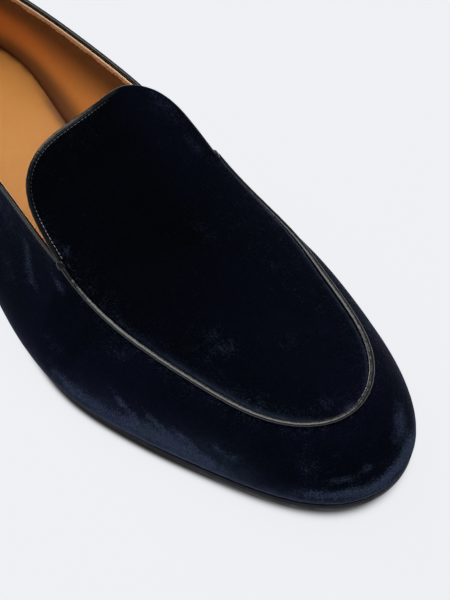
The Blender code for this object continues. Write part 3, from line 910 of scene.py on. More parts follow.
def velvet_material():
    """Dark velvet, pale where the nap is brushed or worn, with painted shade on the plug, painted sheen and
    painted highlights.
    """
    look = Look(
        "velvet",
        Sheen_Weight=0.13,
        Sheen_Roughness=0.30,
        Sheen_Tint=(0.45, 0.52, 0.80, 1.0),
        Specular_IOR_Level=0.015,
    )
    place = look.place()
    broad = look.noise(place, 30.0, 3.0)
    middle = look.noise(place, 230.0, 5.0, 0.62)
    streak = look.noise(look.cloth_place(), 1.0, 5.0, 0.65, stretch=(190.0, 620.0, 1.0))
    pile = look.noise(place, 1500.0, 3.0, 0.7)
    tint = look.ramp(broad, 0.38, 0.62)
    plain = look.mix(tint, (0.0012, 0.0023, 0.0054), (0.0022, 0.0030, 0.0092))
    plain = look.mix(look.ramp(pile, 0.45, 0.72, 0.0, 0.6), plain, (0.0058, 0.0072, 0.0135))
    # Painted shade: a darker copy of the velvet's colour, laid on where the shade value says
    shaded_colour = look.mix(tint, (0.0006, 0.0013, 0.0022), (0.0011, 0.0016, 0.0034))
    shaded_colour = look.mix(look.ramp(pile, 0.45, 0.72, 0.0, 0.4), shaded_colour, (0.0040, 0.0052, 0.0085))
    plain = look.mix(look.attribute("shade"), plain, shaded_colour)
    ragged = look.add(look.swing(middle, 0.6), look.swing(streak, 0.35), look.swing(pile, 0.9))
    brushed = look.ramp(look.add(look.attribute("nap"), ragged), 0.10, 0.95)
    brushed = look.times(brushed, look.ramp(pile, 0.34, 0.64, 0.5, 1.0))
    flecks = look.times(look.ramp(pile, 0.50, 0.62), look.ramp(middle, 0.42, 0.58, 0.3, 1.1))
    specks = look.times(look.attribute("specks"), flecks)
    # Painted sheen: where the glow value says, the velvet is painted pale in the grain of its pile
    grainy = look.add(look.ramp(middle, 0.25, 0.75, 0.35, 0.75), look.ramp(pile, 0.35, 0.65, 0.0, 0.35))
    grainy = look.add(grainy, look.ramp(streak, 0.3, 0.7, -0.2, 0.2))
    amount = look.maths("MAXIMUM", look.add(brushed, specks), look.times(look.attribute("glow"), grainy))
    amount = look.maths("MINIMUM", amount, 1.0)
    pale = look.mix(look.ramp(broad, 0.40, 0.60), (0.0380, 0.0560, 0.0950), (0.0440, 0.0570, 0.1120))
    look.link("Base Color", look.mix(amount, plain, pale))
    look.link("Roughness", look.ramp(amount, 0.0, 1.0, 0.95, 0.75))
    look.bump(look.add(look.times(pile, 0.6), look.times(streak, 0.8)), 0.0004, 0.8)
    return look.material


def trim_material(name, gloss):
    """Black calf leather with a fine grain and a soft gloss."""
    look = Look(name, Specular_IOR_Level=gloss)
    place = look.place()
    worn_grain = look.noise(place, 260.0, 4.0, 0.6)
    colour = look.mix(look.ramp(worn_grain, 0.45, 0.75), (0.0015, 0.0017, 0.0025), (0.0050, 0.0052, 0.0065))
    look.link("Base Color", colour)
    look.link("Roughness", look.add(look.ramp(worn_grain, 0.3, 0.7, 0.17, 0.27), look.attribute("matt")))
    look.bump(look.add(look.times(look.pebbles(place, 1500.0), 0.5), worn_grain), 0.00010, 0.6)
    return look.material


def thread_material():
    look = Look("thread", Specular_IOR_Level=0.25)
    twist = look.noise(look.place(), 2400.0, 2.0)
    dark = look.mix(twist, (0.003, 0.003, 0.005), (0.012, 0.013, 0.018))
    # Painted highlight: the thread turns pale where the tongue's edge catches the light
    pale = look.mix(twist, (0.10, 0.10, 0.11), (0.46, 0.46, 0.48))
    look.link("Base Color", look.mix(look.attribute("edge_highlight"), dark, pale))
    look.link("Roughness", look.ramp(twist, 0.3, 0.7, 0.35, 0.6))
    look.bump(twist, 0.0001)
    return look.material


def tan_material(name, light, dark, shade_colour, raw_colour=None):
    """Smooth tan leather with a fine grain, darker where it is handled, with painted shade where its edge
    value says.
    """
    look = Look(name, Specular_IOR_Level=0.35, Coat_Weight=0.05, Coat_Roughness=0.4)
    place = look.place()
    broad = look.noise(place, 18.0, 3.0)
    fine = look.noise(place, 420.0, 5.0, 0.65)
    colour = look.mix(look.ramp(broad, 0.35, 0.7), light, dark)
    colour = look.mix(look.ramp(fine, 0.45, 0.8, 0.0, 0.35), colour, dark)
    colour = look.mix(look.attribute("edge"), colour, shade_colour)
    if raw_colour is not None:
        colour = look.mix(look.attribute("raw"), colour, raw_colour)
    look.link("Base Color", colour)
    look.link("Roughness", look.ramp(fine, 0.3, 0.7, 0.42, 0.60))
    look.bump(look.add(look.times(look.pebbles(place, 1100.0), 0.5), fine), 0.00012, 0.6)
    return look.material


def sole_material(name, low, high, polish):
    """Black leather or rubber seen at its edge, with faint lines along it."""
    look = Look(name, Specular_IOR_Level=polish)
    place = look.place()
    layers = look.noise(place, 1.0, 4.0, 0.6, stretch=(60.0, 60.0, 2400.0))
    scuff = look.noise(place, 190.0, 4.0, 0.6)
    look.link("Base Color", look.mix(look.ramp(layers, 0.35, 0.7), low, high))
    look.link("Roughness", look.ramp(scuff, 0.35, 0.7, 0.42, 0.62))
    look.bump(look.add(layers, scuff), 0.0001, 0.6)
    return look.material


def run_from_toe(rows):
    """For each column of the wall, its way along the sole's edge from the tip of the toe."""
    foot = rows[0]
    along = run_lengths(foot, 0)
    along = along - along[VAMP_STEPS // 2]
    length = along[-1] + np.linalg.norm(foot[0] - foot[-1]) - along[0]
    return (along + length / 2) % length - length / 2


def behind_tacks(rows):
    """The columns of the wall round the heel, from the inner tack to the outer one."""
    return np.concatenate([rows[:, VAMP_STEPS:], rows[:, :1]], axis=1)


def wall_slope(rows):
    """Unit directions down the wall from its top."""
    return unit(rows[SLOPE_ROW] - rows[-1])


def far_seam(x, s):
    """One where the seam of the inner side hides behind the plug, just in front of its tack."""
    return (x > 0) * (1 - onset(s, SEAM_SINK_SPAN))


def edge_drop(depth, x, s, distance):
    """How far the velvet drops at the seam, less where the seam is hidden."""
    return depth * (1 - SEAM_SINK_SHARE * far_seam(x, s)) * fade(distance, EDGE_DROP_REACH)


def lining_inset(distance):
    """How deep the lining's face lies in the wall, by the distance from the collar's top."""
    return LINING_DEPTH + (LINING_DEPTH_INSIDE - LINING_DEPTH) * ease(distance / LINING_SKIVE)


def make_wall(velvet, lining):
    rows = upper_rows()
    normals = surface_normals(rows, True, rows - rows.mean(axis=1, keepdims=True))
    rise = run_lengths(rows, 0)
    left = rise[-1] - rise
    station = rows[..., 1]
    run = run_from_toe(rows)[None, :] + np.zeros(rise.shape)
    depth = patches(WALL_TROUGHS, run, rise)
    depth += edge_drop(VAMP_EDGE_DROP, rows[..., 0], station, left)
    depth += puckered(SEAM_PUCKER, run, left) * onset(station - TACK_STATION, SEAM_PUCKER_SPAN)
    depth += puckered(SOLE_PUCKER, run, rise)
    skin = rows - normals * depth[..., None]
    skin[0] = rows[0] - np.array([0, 0, GAP - VELVET_CLEARANCE])
    wall = make_sheet("vamp_velvet", skin, True, velvet, BESIDE_QUARTER)
    paint(wall, "nap", np.clip(patches(WALL_NAP, run, rise), 0, 1))
    edges = by_edge(VAMP_SEAM_WEAR, left) + by_edge(SOLE_WEAR, rise)
    paint(wall, "specks", edges + bell(TOE_WEAR, run, rise))
    # Painted sheen along the sole, in bands round the wall
    glow = np.zeros(rise.shape)
    for band in WALL_GLOW:
        along = band.strength * fade(run - band.along, band.length / 2, 4)
        glow = np.maximum(glow, along * fade(rise, band.width, GLOW_POWER))
    paint(wall, "glow", glow)
    lay_map(wall, np.stack([run, rise], -1))
    thicken(wall, VELVET_THICKNESS)
    cup = 1 - VALLEY_HEEL_SHARE * (1 - onset(station, VALLEY_HEEL))
    inset = lining_inset(left) + VALLEY_DEPTH * cup * fade(rise, VALLEY_RISE)
    inside = (rows - normals * inset[..., None])[1::2, ::2]
    lining_piece = make_sheet("quarter_lining", inside, True, lining, BESIDE_QUARTER)
    # Painted shade on the lining: towards the insole and under the collar
    low = LINING_FOOT_SHADE * fade(rise, LINING_FOOT_RISE, 4)
    high = LINING_TOP_SHADE * (1 - onset(left, LINING_TOP))
    paint(lining_piece, "edge", np.clip(low + high, 0, 1)[1::2, ::2])
    thicken(lining_piece, LINING_THICKNESS)
    return rows, normals, wall, lining_piece


def make_tape(rows, normals, lining):
    """The lining's raw upper edge, with small teeth along its lower side, inside the collar."""
    back = behind_tacks(rows)
    directions = [wall_slope(back), behind_tacks(normals)[SLOPE_ROW + 1]]
    run, path, (down, out) = resample(back[-1], directions, TAPE_PITCH)
    teeth = RAW_EDGE + RAW_EDGE_WAVE * ripple(run, RAW_EDGE_PERIOD)
    teeth += RAW_EDGE_TOOTH * np.abs(np.sin(pi * run / RAW_EDGE_TOOTH_PERIOD))
    reach = TAPE_TOP + (teeth[:, None] - TAPE_TOP) * TAPE_SHARES
    inset = lining_inset(reach) + LINING_THICKNESS + TAPE_PROUD
    inset = inset - TAPE_FOOT_LIFT * (TAPE_SHARES == 1) - TAPE_THICKNESS
    points = path[:, None] + down[:, None] * reach[..., None] - out[:, None] * inset[..., None]
    tape = make_sheet("lining_raw_edge", points.transpose(1, 0, 2), False, lining, BESIDE_COLLAR)
    paint(tape, "raw", np.repeat(TAPE_RAW, len(run), axis=1))
    # Painted shadow along the tape's foot, where it lies on the lining
    paint(tape, "edge", np.repeat(TAPE_SHADE, len(run), axis=1))
    thicken(tape, TAPE_THICKNESS)
    return tape


def make_plug(seam, velvet, lining):
    """The plug inside the seam and the tongue behind it, in rows from the tongue's top to the front."""
    grid = np.stack(list(tongue_grid()[::-1]) + plug_rows(seam))
    x = grid[..., 0]
    s = grid[..., 1]
    tip = seam[VAMP_STEPS // 2]
    normals = surface_normals(grid, False, np.array([0, 0, 1.0]))
    run = run_lengths(grid, 1)
    edge = np.minimum(np.minimum(run, run[:, -1:] - run), run_lengths(grid, 0))
    edge = np.minimum(edge, np.linalg.norm(grid - tip, axis=-1) * TIP_NEARNESS)
    front = s > TACK_STATION
    depth = patches(PLUG_TROUGHS, x, s)
    depth += np.where(front, edge_drop(EDGE_DROP, x, s, edge), TONGUE_EDGE_DROP * fade(edge, EDGE_DROP_REACH))
    skin = grid - normals * depth[..., None]
    rows, columns = grid.shape[:2]
    last = (rows - 1) * columns
    faces = grid_faces(rows, columns, False)
    faces += [(last + j, last + j + 1, rows * columns) for j in range(columns - 1)]
    points = np.concatenate([skin.reshape(-1, 3), [tip - np.array([0, 0, EDGE_DROP])]])
    plug = make_piece("plug_velvet", points, faces, velvet, OVER_PLUG)
    # Painted sheen beside the plug's seam, left out where the seam hides behind the plug
    glow = by_edge(PLUG_GLOW, edge, 2) * onset(s - TACK_STATION, PLUG_GLOW_SPAN)
    # Painted shade over the plug, darkest at its back
    shade = 1 - PLUG_FRONT_LIGHT * onset(s, PLUG_FRONT)
    shade = shade * (1 - PLUG_SIDE_LIGHT * onset(x, PLUG_SIDE))
    looks = {
        "nap": np.clip(patches(PLUG_NAP, x, s), 0, 1),
        # Specks: worn seam edges, and a painted highlight by the tongue's edge
        "specks": by_edge(PLUG_SEAM_WEAR, edge) * front + edge_highlight(x, s) * by_edge(TONGUE_HIGHLIGHT, edge),
        "glow": glow * (1 - far_seam(x, s)),
        "shade": shade,
    }
    for name, at_tip in TIP_LOOKS.items():
        paint(plug, name, np.append(looks[name].ravel(), at_tip))
    lay_map(plug, np.concatenate([grid[..., 1::-1].reshape(-1, 2), [tip[1::-1]]]))
    thicken(plug, VELVET_THICKNESS)
    under = (grid - normals * PLUG_LINING_DEPTH)[::2, ::2]
    lining_piece = make_sheet("plug_lining", under, False, lining, OVER_PLUG)
    thicken(lining_piece, LINING_THICKNESS)
    return grid, normals, plug, lining_piece


def resample(path, directions, pitch):
    """A path and the directions along it at even steps, with the run from its start."""
    run = run_lengths(path, 0)
    count = int(round(run[-1] / pitch))
    where = np.linspace(0, run[-1], count + 1)

    def pick(rows):
        return np.stack([np.interp(where, run, rows[:, k]) for k in range(rows.shape[1])], -1)

    return where, pick(path), [unit(pick(rows)) for rows in directions]


def smooth_along(rows, times):
    rows = rows.copy()
    for _ in range(times):
        rows[1:-1] = (rows[:-2] + 2 * rows[1:-1] + rows[2:]) / 4
    return rows


def seam_frames(rows):
    """The apron seam and its directions, from the outer tack round to the inner tack."""
    path = rows[-1][: VAMP_STEPS + 1]
    down = wall_slope(rows)[: VAMP_STEPS + 1]
    away = unit(down[:, :2])
    inside = path[:, :2] - away * SEAM_STEP
    drop = top_height(inside[:, 0], inside[:, 1]) - path[:, 2]
    inward = unit(np.column_stack([-away * SEAM_STEP, drop]))
    along = unit(np.gradient(path, axis=0))
    out = square_to(down - inward, along)
    lift = facing(unit(np.cross(along, out)), (0, 0, 1))
    return path, smooth_along(out, SEAM_SMOOTHING), smooth_along(lift, SEAM_SMOOTHING)


def sweep(name, path, out, lift, section, material):
    """A strip along a path. The section gives reach and rise at each step along it."""
    rings = path[:, None] + out[:, None] * section[..., :1] + lift[:, None] * section[..., 1:]
    return make_tube(name, rings, material)


def edge_highlight(x, s):
    """Painted highlight by the tongue's edge: the outer half of its top and its outer side."""
    top = HIGHLIGHT_TOP * fade(x - HIGHLIGHT_TOP_MIDDLE, HIGHLIGHT_TOP_REACH, 4) * (s < HIGHLIGHT_TOP_END)
    side = fade(s - HIGHLIGHT_SIDE_MIDDLE, HIGHLIGHT_SIDE_REACH, 4) * (x < HIGHLIGHT_SIDE_END)
    return np.maximum(top, side)


def make_threads(name, threads, material):
    """Short threads, each as its spots, its radius at each of them, and two directions across it."""
    turn = turns(THREAD_SIDES)[:, None]
    points = []
    faces = []
    for spots, sizes, side, up in threads:
        faces += tube_faces(len(spots), THREAD_SIDES, len(points))
        for spot, size in zip(spots, sizes):
            points += list(spot + (side * np.cos(turn) + up * np.sin(turn)) * size)
    return make_piece(name, points, faces, material), np.array(points)


def bead_section(run):
    """A bead pressed flat on the plug's side and round on the vamp's, a little uneven along its run."""

    def pointing(degrees):
        return np.stack([np.sin(np.radians(degrees)), np.cos(np.radians(degrees))], -1)

    centre = np.array(BEAD_CENTRE)
    start = BEAD_START
    radius = BEAD_ARCS[0].radius
    spots = [centre + radius * pointing(start)]
    for arc in BEAD_ARCS:
        centre = centre + (radius - arc.radius) * pointing(start)
        spots += list(centre + arc.radius * pointing(np.linspace(start, arc.end, arc.steps + 1)[1:]))
        start = arc.end
        radius = arc.radius
    spots = np.array(spots + BEAD_FOOT) + (0, PIPING_HEIGHT)
    wrinkle = 1 + waves(run, BEAD_WRINKLES)
    shift = PIPING_SHIFT + waves(run, BEAD_SHIFTS)
    return np.stack([spots[:, 0] * wrinkle + shift, spots[:, 1] * wrinkle], -1)


def fold_section(run, fold):
    """Leather folded over an edge: a ridge along its lower edge, a groove, and a rounded top."""
    half = (fold.out - fold.under) / 2
    middle = (fold.out + fold.under) / 2
    turn = np.linspace(pi / 2, -pi / 2, CAP_STEPS + 1)
    cap = [(half * FOLD_ROUND * np.cos(a), middle + half * np.sin(a)) for a in turn]
    top = [(-fold.reach * share, fold.out - drop) for share, drop in zip(FOLD_SHARES, FOLD_DROPS)]
    under = [(-fold.reach * share, fold.under + drop) for share, drop in zip(FOLD_SHARES, FOLD_DROPS)][::-1]
    core = [(-fold.reach, middle - FOLD_CORE), (-fold.reach, middle + FOLD_CORE)]
    section = np.repeat(np.array(top + cap + under + core)[None], len(run), axis=0)
    pinch = FOLD_PINCH * np.cos(2 * pi * run / fold.pitch)[:, None] + waves(run, FOLD_WAVES)
    near = fade(section[0, :, 0] + fold.reach * FOLD_PINCH_AT, FOLD_PINCH_WIDTH)
    section[..., 1] += pinch * near * np.where(section[0, :, 1] > middle, 1.0, -1.0)
    section[..., 0] += waves(run, FOLD_SHIFTS)
    return section


def make_piping(rows, trim):
    path, out, lift = seam_frames(rows)
    down = wall_slope(rows)[: VAMP_STEPS + 1]
    path = path + down * (SEAM_SINK * far_seam(path[:, 0], path[:, 1]))[:, None]
    run, path, (out, lift) = resample(path, [out, lift], STRIP_PITCH)
    thin = 1 - PIPING_THINNER * (1 - onset(path[:, 1] - TACK_STATION, PIPING_THIN_SPAN))
    section = bead_section(run) * thin[:, None, None]
    piece = sweep("apron_bead", path, out, lift, section, trim)
    matt = PIPING_MATT * (1 - onset(path[:, 1] - TACK_STATION, PIPING_MATT_SPAN))
    paint(piece, "matt", np.repeat(matt, section.shape[1]))
    return piece


def make_fold(name, path, out, lift, fold, trim, thread):
    """Leather folded over a path's edge, and the short threads laid end to end along it."""
    directions = [smooth_along(out, fold.smoothing), smooth_along(lift, fold.smoothing)]
    run, path, (out, lift) = resample(path, directions, STRIP_PITCH)
    piece = sweep(name + "_edge", path, out, lift, fold_section(run, fold), trim)
    run, path, (out, lift) = resample(path, [out, lift], fold.pitch)
    along = unit(np.gradient(path, axis=0))
    far = STITCH_RINGS[:, :1]
    sizes = STITCH_RADIUS * STITCH_RINGS[:, 1]
    threads = []
    for k in range(1, len(path) - 1):
        centre = path[k] - out[k] * fold.stitches + lift[k] * (fold.out + fold.sink)
        spots = centre + along[k] * far * (fold.pitch * STITCH_SHARE / 2)
        spots = spots - lift[k] * STITCH_BOW * np.abs(far) ** 3
        threads.append((spots, sizes, out[k], lift[k]))
    stitches, points = make_threads(name + "_stitches", threads, thread)
    # Painted highlight on the tongue's stitches, where its edge catches the light
    if fold is TONGUE_FOLD:
        paint(stitches, "edge_highlight", edge_highlight(points[:, 0], points[:, 1]))
    return piece, stitches


def make_collar_binding(rows, trim, thread):
    top = behind_tacks(rows)
    path = top[-1]
    along = unit(np.gradient(path, axis=0))
    out = square_to(-wall_slope(top), along)
    lift = facing(unit(np.cross(along, out)), (path - path.mean(axis=0)) * (1, 1, 0))
    return make_fold("collar", path, out, lift, COLLAR_FOLD, trim, thread)


def make_tongue_binding(grid, normals, trim, thread):
    rows = TONGUE_ROWS
    path = np.concatenate([grid[rows - 1 : 0 : -1, 0], grid[0], grid[1:rows, -1]])
    normal = np.concatenate([normals[rows - 1 : 0 : -1, 0], normals[0], normals[1:rows, -1]])
    along = unit(np.gradient(path, axis=0))
    out = square_to(facing(np.cross(normal, along), path - grid[rows, PLUG_COLUMNS // 2]), along)
    path = path - normal * (TONGUE_SINK * onset(path[:, :1], TONGUE_SINK_SPAN))
    return make_fold("tongue", path, out, normal, TONGUE_FOLD, trim, thread)


def filled(loop, columns, height):
    """Points and faces that fill a loop running heel, outer side, toe, inner side."""
    count = len(loop)
    half = count // 2
    share = np.linspace(0, 1, columns + 1)[1:-1, None]
    points = list(loop)
    rows = []
    for k in range(1, half):
        left = loop[k]
        right = loop[count - k]
        inner = left + (right - left) * share
        inner[:, 2] = height(inner[:, 0], inner[:, 1])
        first = len(points)
        points += list(inner)
        rows.append([k] + [first + j for j in range(len(share))] + [count - k])
    faces = []
    for low, high in zip(rows, rows[1:]):
        faces += [(low[j], low[j + 1], high[j + 1], high[j]) for j in range(columns)]
    faces += [(0, rows[0][j + 1], rows[0][j]) for j in range(columns)]
    faces += [(half, rows[-1][j], rows[-1][j + 1]) for j in range(columns)]
    return points, faces


def stack_rings(points, faces, rings):
    """Adds rings to a filled loop, each joined to the one before. Returns where the last one starts."""
    count = len(rings[0])
    previous = 0
    for ring in rings[1:]:
        now = len(points)
        points += list(ring)
        for j in range(count):
            beside = (j + 1) % count
            faces.append((previous + j, previous + beside, now + beside, now + j))
        previous = now
    return previous


def outline(margin):
    """The feather line moved outward by a margin, as x and s."""
    feather = feather_plan(turns(SOLE_STEPS))
    return feather + outward(feather) * margin


def make_slab(name, edge, margin, thickness, columns, top_at, bottom_at, material):
    """A plate with a shaped edge, from rows of inset and level, with both faces filled."""
    rings = []
    for row in edge:
        plan = outline(margin - row.inset)
        rings.append(np.column_stack([plan, bottom_at(0, plan[:, 1]) + thickness * row.level]))
    points, faces = filled(rings[0], columns, top_at)
    below, low_faces = filled(rings[-1], columns, bottom_at)
    last = stack_rings(points, faces, rings[:-1] + [below])
    faces += [tuple(last + i for i in face) for face in low_faces]
    return make_piece(name, points, faces, material), np.array(points)


def make_outsole(material):
    def top(x, s):
        return seat_height(s)

    def bottom(x, s):
        return bottom_height(s)

    sizes = (SOLE_MARGIN, SOLE_THICKNESS, SOLE_COLUMNS)
    return make_slab("sole_leather", SOLE_EDGE, *sizes, top, bottom, material)[0]


def make_insole(material):
    def top(x, s):
        return seat_height(s) + GAP + INSOLE_THICKNESS - bell(HEEL_HOLLOW, x, s)

    def bottom(x, s):
        return seat_height(s) + GAP

    sizes = (-INSOLE_INSET, INSOLE_THICKNESS, INSOLE_COLUMNS)
    piece, points = make_slab("sock_leather", INSOLE_EDGE, *sizes, top, bottom, material)
    feather = feather_plan(turns(RIM_STEPS))
    rim = feather - outward(feather) * INSOLE_INSET
    gap = np.sqrt(((points[:, None, :2] - rim[None]) ** 2).sum(-1)).min(1)
    s = points[:, 1]
    arch = onset(points[:, 0], SOCK_ARCH_SIDE) * onset(s, SOCK_ARCH_START)
    arch = SOCK_ARCH * arch * (1 - onset(s, SOCK_ARCH_END))
    # Painted shade round the insole's rim, where it meets the lining's valley
    rim_shade = SOCK_LINE * fade(gap, SOCK_EDGE, 4) + by_edge(SOCK_BAND, gap)
    paint(piece, "edge", np.clip(np.maximum(rim_shade, arch * fade(gap, SOCK_ARCH_WIDTH, 4)), 0, 1))
    return piece


def make_block(name, edge, top_at, foot, material):
    """A layer of the heel behind its straight breast, from rows of inset and share of its height."""
    behind = feather_plan(turns(SOLE_STEPS))[:, 1] < HEEL_BREAST
    rings = []
    for row in edge:
        plan = outline(SOLE_MARGIN - row.inset)[behind]
        top = top_at(plan[:, 1])
        rings.append(np.column_stack([plan, top + (foot - top) * row.level]))
    piece = make_tube(name, rings, material)
    piece.data.set_sharp_from_angle(angle=np.radians(SHARP_ANGLE))
    return piece


def make_heel(material, rubber):
    edge = []
    for share in np.linspace(0, 1, HEEL_LEVELS):
        groove = HEEL_GROOVE_DEPTH * sum(fade(share - line, HEEL_GROOVE_WIDTH) for line in HEEL_GROOVES)
        edge.append(Edge(SOLE_FOOT_INSET + HEEL_TAPER * share + groove, share))
    foot = LIFT_THICKNESS + GAP
    heel = make_block("heel_stack", edge, lambda s: bottom_height(s) - GAP * HEEL_TOP_GAP, foot, material)
    edge = [Edge(SOLE_FOOT_INSET + HEEL_TAPER + row.inset, row.level) for row in LIFT_EDGE]
    top = LIFT_THICKNESS + GAP * LIFT_TOP_GAP
    return heel, make_block("lift_rubber_cap", edge, lambda s: np.full(len(s), top), 0.0, rubber)


def make_tack(name, centre, across, up, trim, thread):
    """A small leather pad over the end of the seam, held by threads across it."""
    along = unit(np.cross(across, up))
    turn = turns(TACK_STEPS)[:, None]
    power = TACK_SQUARENESS
    squared = (np.abs(np.cos(turn)) ** power + np.abs(np.sin(turn)) ** power) ** (-1 / power)
    spots = (along * TACK_LENGTH * np.cos(turn) + across * TACK_WIDTH * np.sin(turn)) * squared
    pad = make_tube(name, [centre + spots * size + up * rise for size, rise in TACK_RINGS], trim)
    far = np.linspace(-1, 1, TACK_THREAD_STEPS + 1)[:, None]
    sizes = TACK_THREAD_RADIUS * (1 - TACK_THREAD_TAPER * np.abs(far[:, 0]) ** 6)
    spots = across * far * TACK_THREAD_REACH + up * (TACK_THREAD_RISE - TACK_THREAD_BOW * np.abs(far) ** 3)
    threads = [(centre + along * offset + spots, sizes, along, up) for offset in TACK_THREADS]
    return pad, make_threads(name + "_threads", threads, thread)[0]


def place(piece, slot_name, *nodes):
    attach(piece, "root")
    if nodes:
        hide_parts(*nodes)


def build_shoe():
    velvet = velvet_material()
    trim = trim_material("trim_leather", 0.80)
    binding = trim_material("binding_leather", 0.42)
    thread = thread_material()
    # The third colour of the lining and of the insole is their painted shade
    lining = tan_material(
        "lining_leather",
        (0.93, 0.400, 0.100),
        (0.82, 0.340, 0.082),
        (0.085, 0.028, 0.013),
        raw_colour=(0.86, 0.56, 0.34),
    )
    sock = tan_material("insole_leather", (0.765, 0.355, 0.079), (0.68, 0.295, 0.060), (0.13, 0.045, 0.014))
    sole = sole_material("sole_edge", (0.0095, 0.0098, 0.0160), (0.0190, 0.0190, 0.0280), 0.12)
    stack = sole_material("heel_edge", (0.0045, 0.0045, 0.0050), (0.0120, 0.0115, 0.0110), 0.25)
    rubber = sole_material("rubber", (0.008, 0.008, 0.008), (0.014, 0.014, 0.014), 0.15)
    rows, normals, wall, quarter_lining = make_wall(velvet, lining)
    grid, plug_normals, plug, plug_lining = make_plug(rows[-1], velvet, lining)
    place(wall, "velvet", "upper")
    place(plug, "velvet", "upper")
    place(quarter_lining, "tan_leather")
    place(plug_lining, "tan_leather")
    place(make_tape(rows, normals, lining), "tan_leather")
    place(make_piping(rows, trim), "trim_leather", "apron_piping")
    edge, stitches = make_collar_binding(rows, binding, thread)
    place(edge, "trim_leather", "collar_binding")
    place(stitches, "trim_leather")
    edge, stitches = make_tongue_binding(grid, plug_normals, binding, thread)
    place(edge, "trim_leather", "tongue_binding")
    place(stitches, "trim_leather")
    path, out, lift = seam_frames(rows)
    path[VAMP_STEPS] -= lift[VAMP_STEPS] * TACK_SINK
    for name, at, node in (("bar_tack_outer", 0, "tack_outer"), ("bar_tack_inner", VAMP_STEPS, "tack_inner")):
        pad, threads = make_tack(name, path[at], out[at], lift[at], binding, thread)
        place(pad, "trim_leather", node)
        place(threads, "trim_leather")
    place(make_insole(sock), "tan_leather", "insole")
    place(make_outsole(sole), "sole_leather", "outsole")
    heel, lift_piece = make_heel(stack, rubber)
    place(heel, "heel_leather", "heel")
    place(lift_piece, "lift_rubber", "heel_lift")


FLOOR_COLOUR = (0.855, 0.871, 0.905)
FLOOR_GLOW = 0.965
FLOOR_ALBEDO = 0.041
FLOOR_DROP = 0.05
FLOOR_SPREAD = 7000.0
FLOOR_RINGS = [-14, -10, -8, -7, -6, -5, -4, -3, -2, -1, -0.5, 0, 0.5, 1, 1.5, 2, 2.5, 3, 4, 5, 7, 12, 40]
# Painted contact shadow: the floor's glow darkened beside and under the sole
CONTACT_SHADOW_COLOUR = (0.020, 0.018, 0.016)
CONTACT_WIDTH = 1.55
CONTACT_WIDTH_RISE = 0.15
CONTACT_UNDERCUT = 0.62


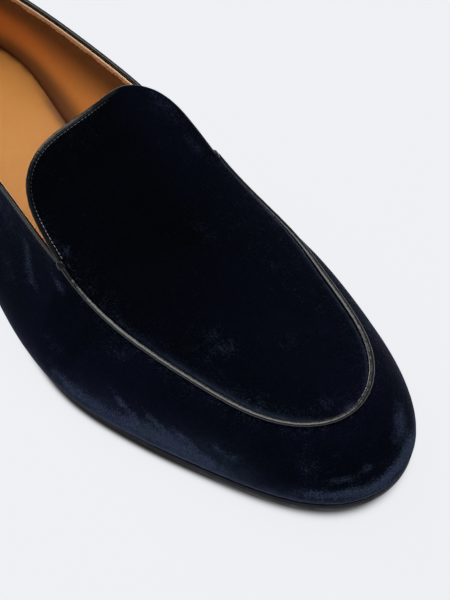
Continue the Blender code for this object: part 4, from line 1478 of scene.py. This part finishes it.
def build_stage():
    """A pale glowing floor, which keeps cast shadows faint, with a painted contact shadow where the sole
    meets it, and a backdrop.
    """
    look = Look("floor", Roughness=0.9, Specular_IOR_Level=0.0, Emission_Strength=FLOOR_GLOW)
    look.link("Emission Color", look.mix(look.attribute("contact_shadow"), FLOOR_COLOUR, CONTACT_SHADOW_COLOUR))
    look.shader.inputs["Base Color"].default_value = tuple(FLOOR_ALBEDO * c for c in FLOOR_COLOUR) + (1.0,)
    under = outline(0)[:, 1]
    lifted = np.where(under < HEEL_BREAST, 0, bottom_height(under))
    rings = []
    contact_shadow = []
    for reach in FLOOR_RINGS:
        rings.append(np.insert(outline(SOLE_MARGIN + reach), 2, -FLOOR_DROP, axis=1))
        beyond = np.maximum(reach + CONTACT_UNDERCUT * lifted, 0)
        contact_shadow.append(fade(beyond, CONTACT_WIDTH + CONTACT_WIDTH_RISE * lifted))
    far = unit(rings[-1][:, :2] - rings[-1][:, :2].mean(axis=0)) * FLOOR_SPREAD
    rings.append(np.insert(far, 2, -FLOOR_DROP, axis=1))
    contact_shadow.append(np.zeros(len(far)))
    points, faces = filled(rings[0], FLOOR_COLUMNS, lambda x, s: -FLOOR_DROP)
    values = np.concatenate([np.ones(len(points))] + contact_shadow[1:])
    stack_rings(points, faces, rings)
    floor = make_piece("floor", points, faces, look.material, OVER_FLOOR)
    paint(floor, "contact_shadow", values)
    glow = Look("backdrop", Roughness=1.0, Specular_IOR_Level=0.0, Emission_Strength=1.0)
    glow.shader.inputs["Base Color"].default_value = (0, 0, 0, 1)
    glow.shader.inputs["Emission Color"].default_value = (*FLOOR_COLOUR, 1.0)
    bpy.ops.mesh.primitive_uv_sphere_add(radius=BACKDROP_RADIUS, segments=48, ring_count=24)
    dome = bpy.context.object
    dome.name = "backdrop"
    dome.data.materials.append(glow.material)
    dome.visible_diffuse = False
    dome.visible_glossy = False
    dome.visible_transmission = False
    dome.visible_shadow = False


def put(name, data, place_at, aim):
    """An object in the scene that looks at a point."""
    thing = bpy.data.objects.new(name, data)
    thing.location = place_at
    thing.rotation_mode = "QUATERNION"
    thing.rotation_quaternion = (Vector(aim) - Vector(place_at)).to_track_quat("-Z", "Y")
    bpy.context.scene.collection.objects.link(thing)
    return thing


def add_softbox(name, place_at, aim, size, power, colour):
    lamp = bpy.data.lights.new(name, "AREA")
    lamp.shape = "RECTANGLE"
    lamp.size, lamp.size_y = size
    lamp.energy = power
    lamp.color = colour
    put(name, lamp, place_at, aim)


def build_light():
    world = bpy.data.worlds.new("studio")
    bpy.context.scene.world = world
    world.use_nodes = True
    sky = world.node_tree.nodes["Background"]
    sky.inputs["Color"].default_value = (0.90, 0.95, 1.0, 1.0)
    sky.inputs["Strength"].default_value = 0.20
    add_softbox("key", (0.0, 0.20, 1.6), (0, 0.02, 0.03), (1.3, 1.7), 20.0, (1.0, 0.985, 0.96))
    add_softbox("rim", (-0.1, 1.5, 0.8), (0, 0, 0.03), (1.0, 0.5), 12.0, (0.96, 0.98, 1.0))


CAMERA_AT = (-0.3680, -0.4851, 0.9322)
CAMERA_AIM = (0.00965, -0.05553, 0.0400)
FOCAL_PIXELS = 2711.4
FRAME_HEIGHT = 600
SENSOR = 36.0
BACKDROP_RADIUS = 6.5


def build_camera():
    camera = bpy.data.cameras.new("camera")
    camera.sensor_fit = "AUTO"
    camera.sensor_width = SENSOR
    camera.lens = FOCAL_PIXELS / FRAME_HEIGHT * SENSOR
    camera.clip_start = 0.01
    camera.clip_end = 100.0
    bpy.context.scene.camera = put("camera", camera, CAMERA_AT, CAMERA_AIM)


build_shoe()
build_stage()
build_light()
build_camera()
bpy.context.scene.view_settings.view_transform = "Standard"
bpy.context.scene.view_settings.look = "None"
bpy.context.view_layer.update()
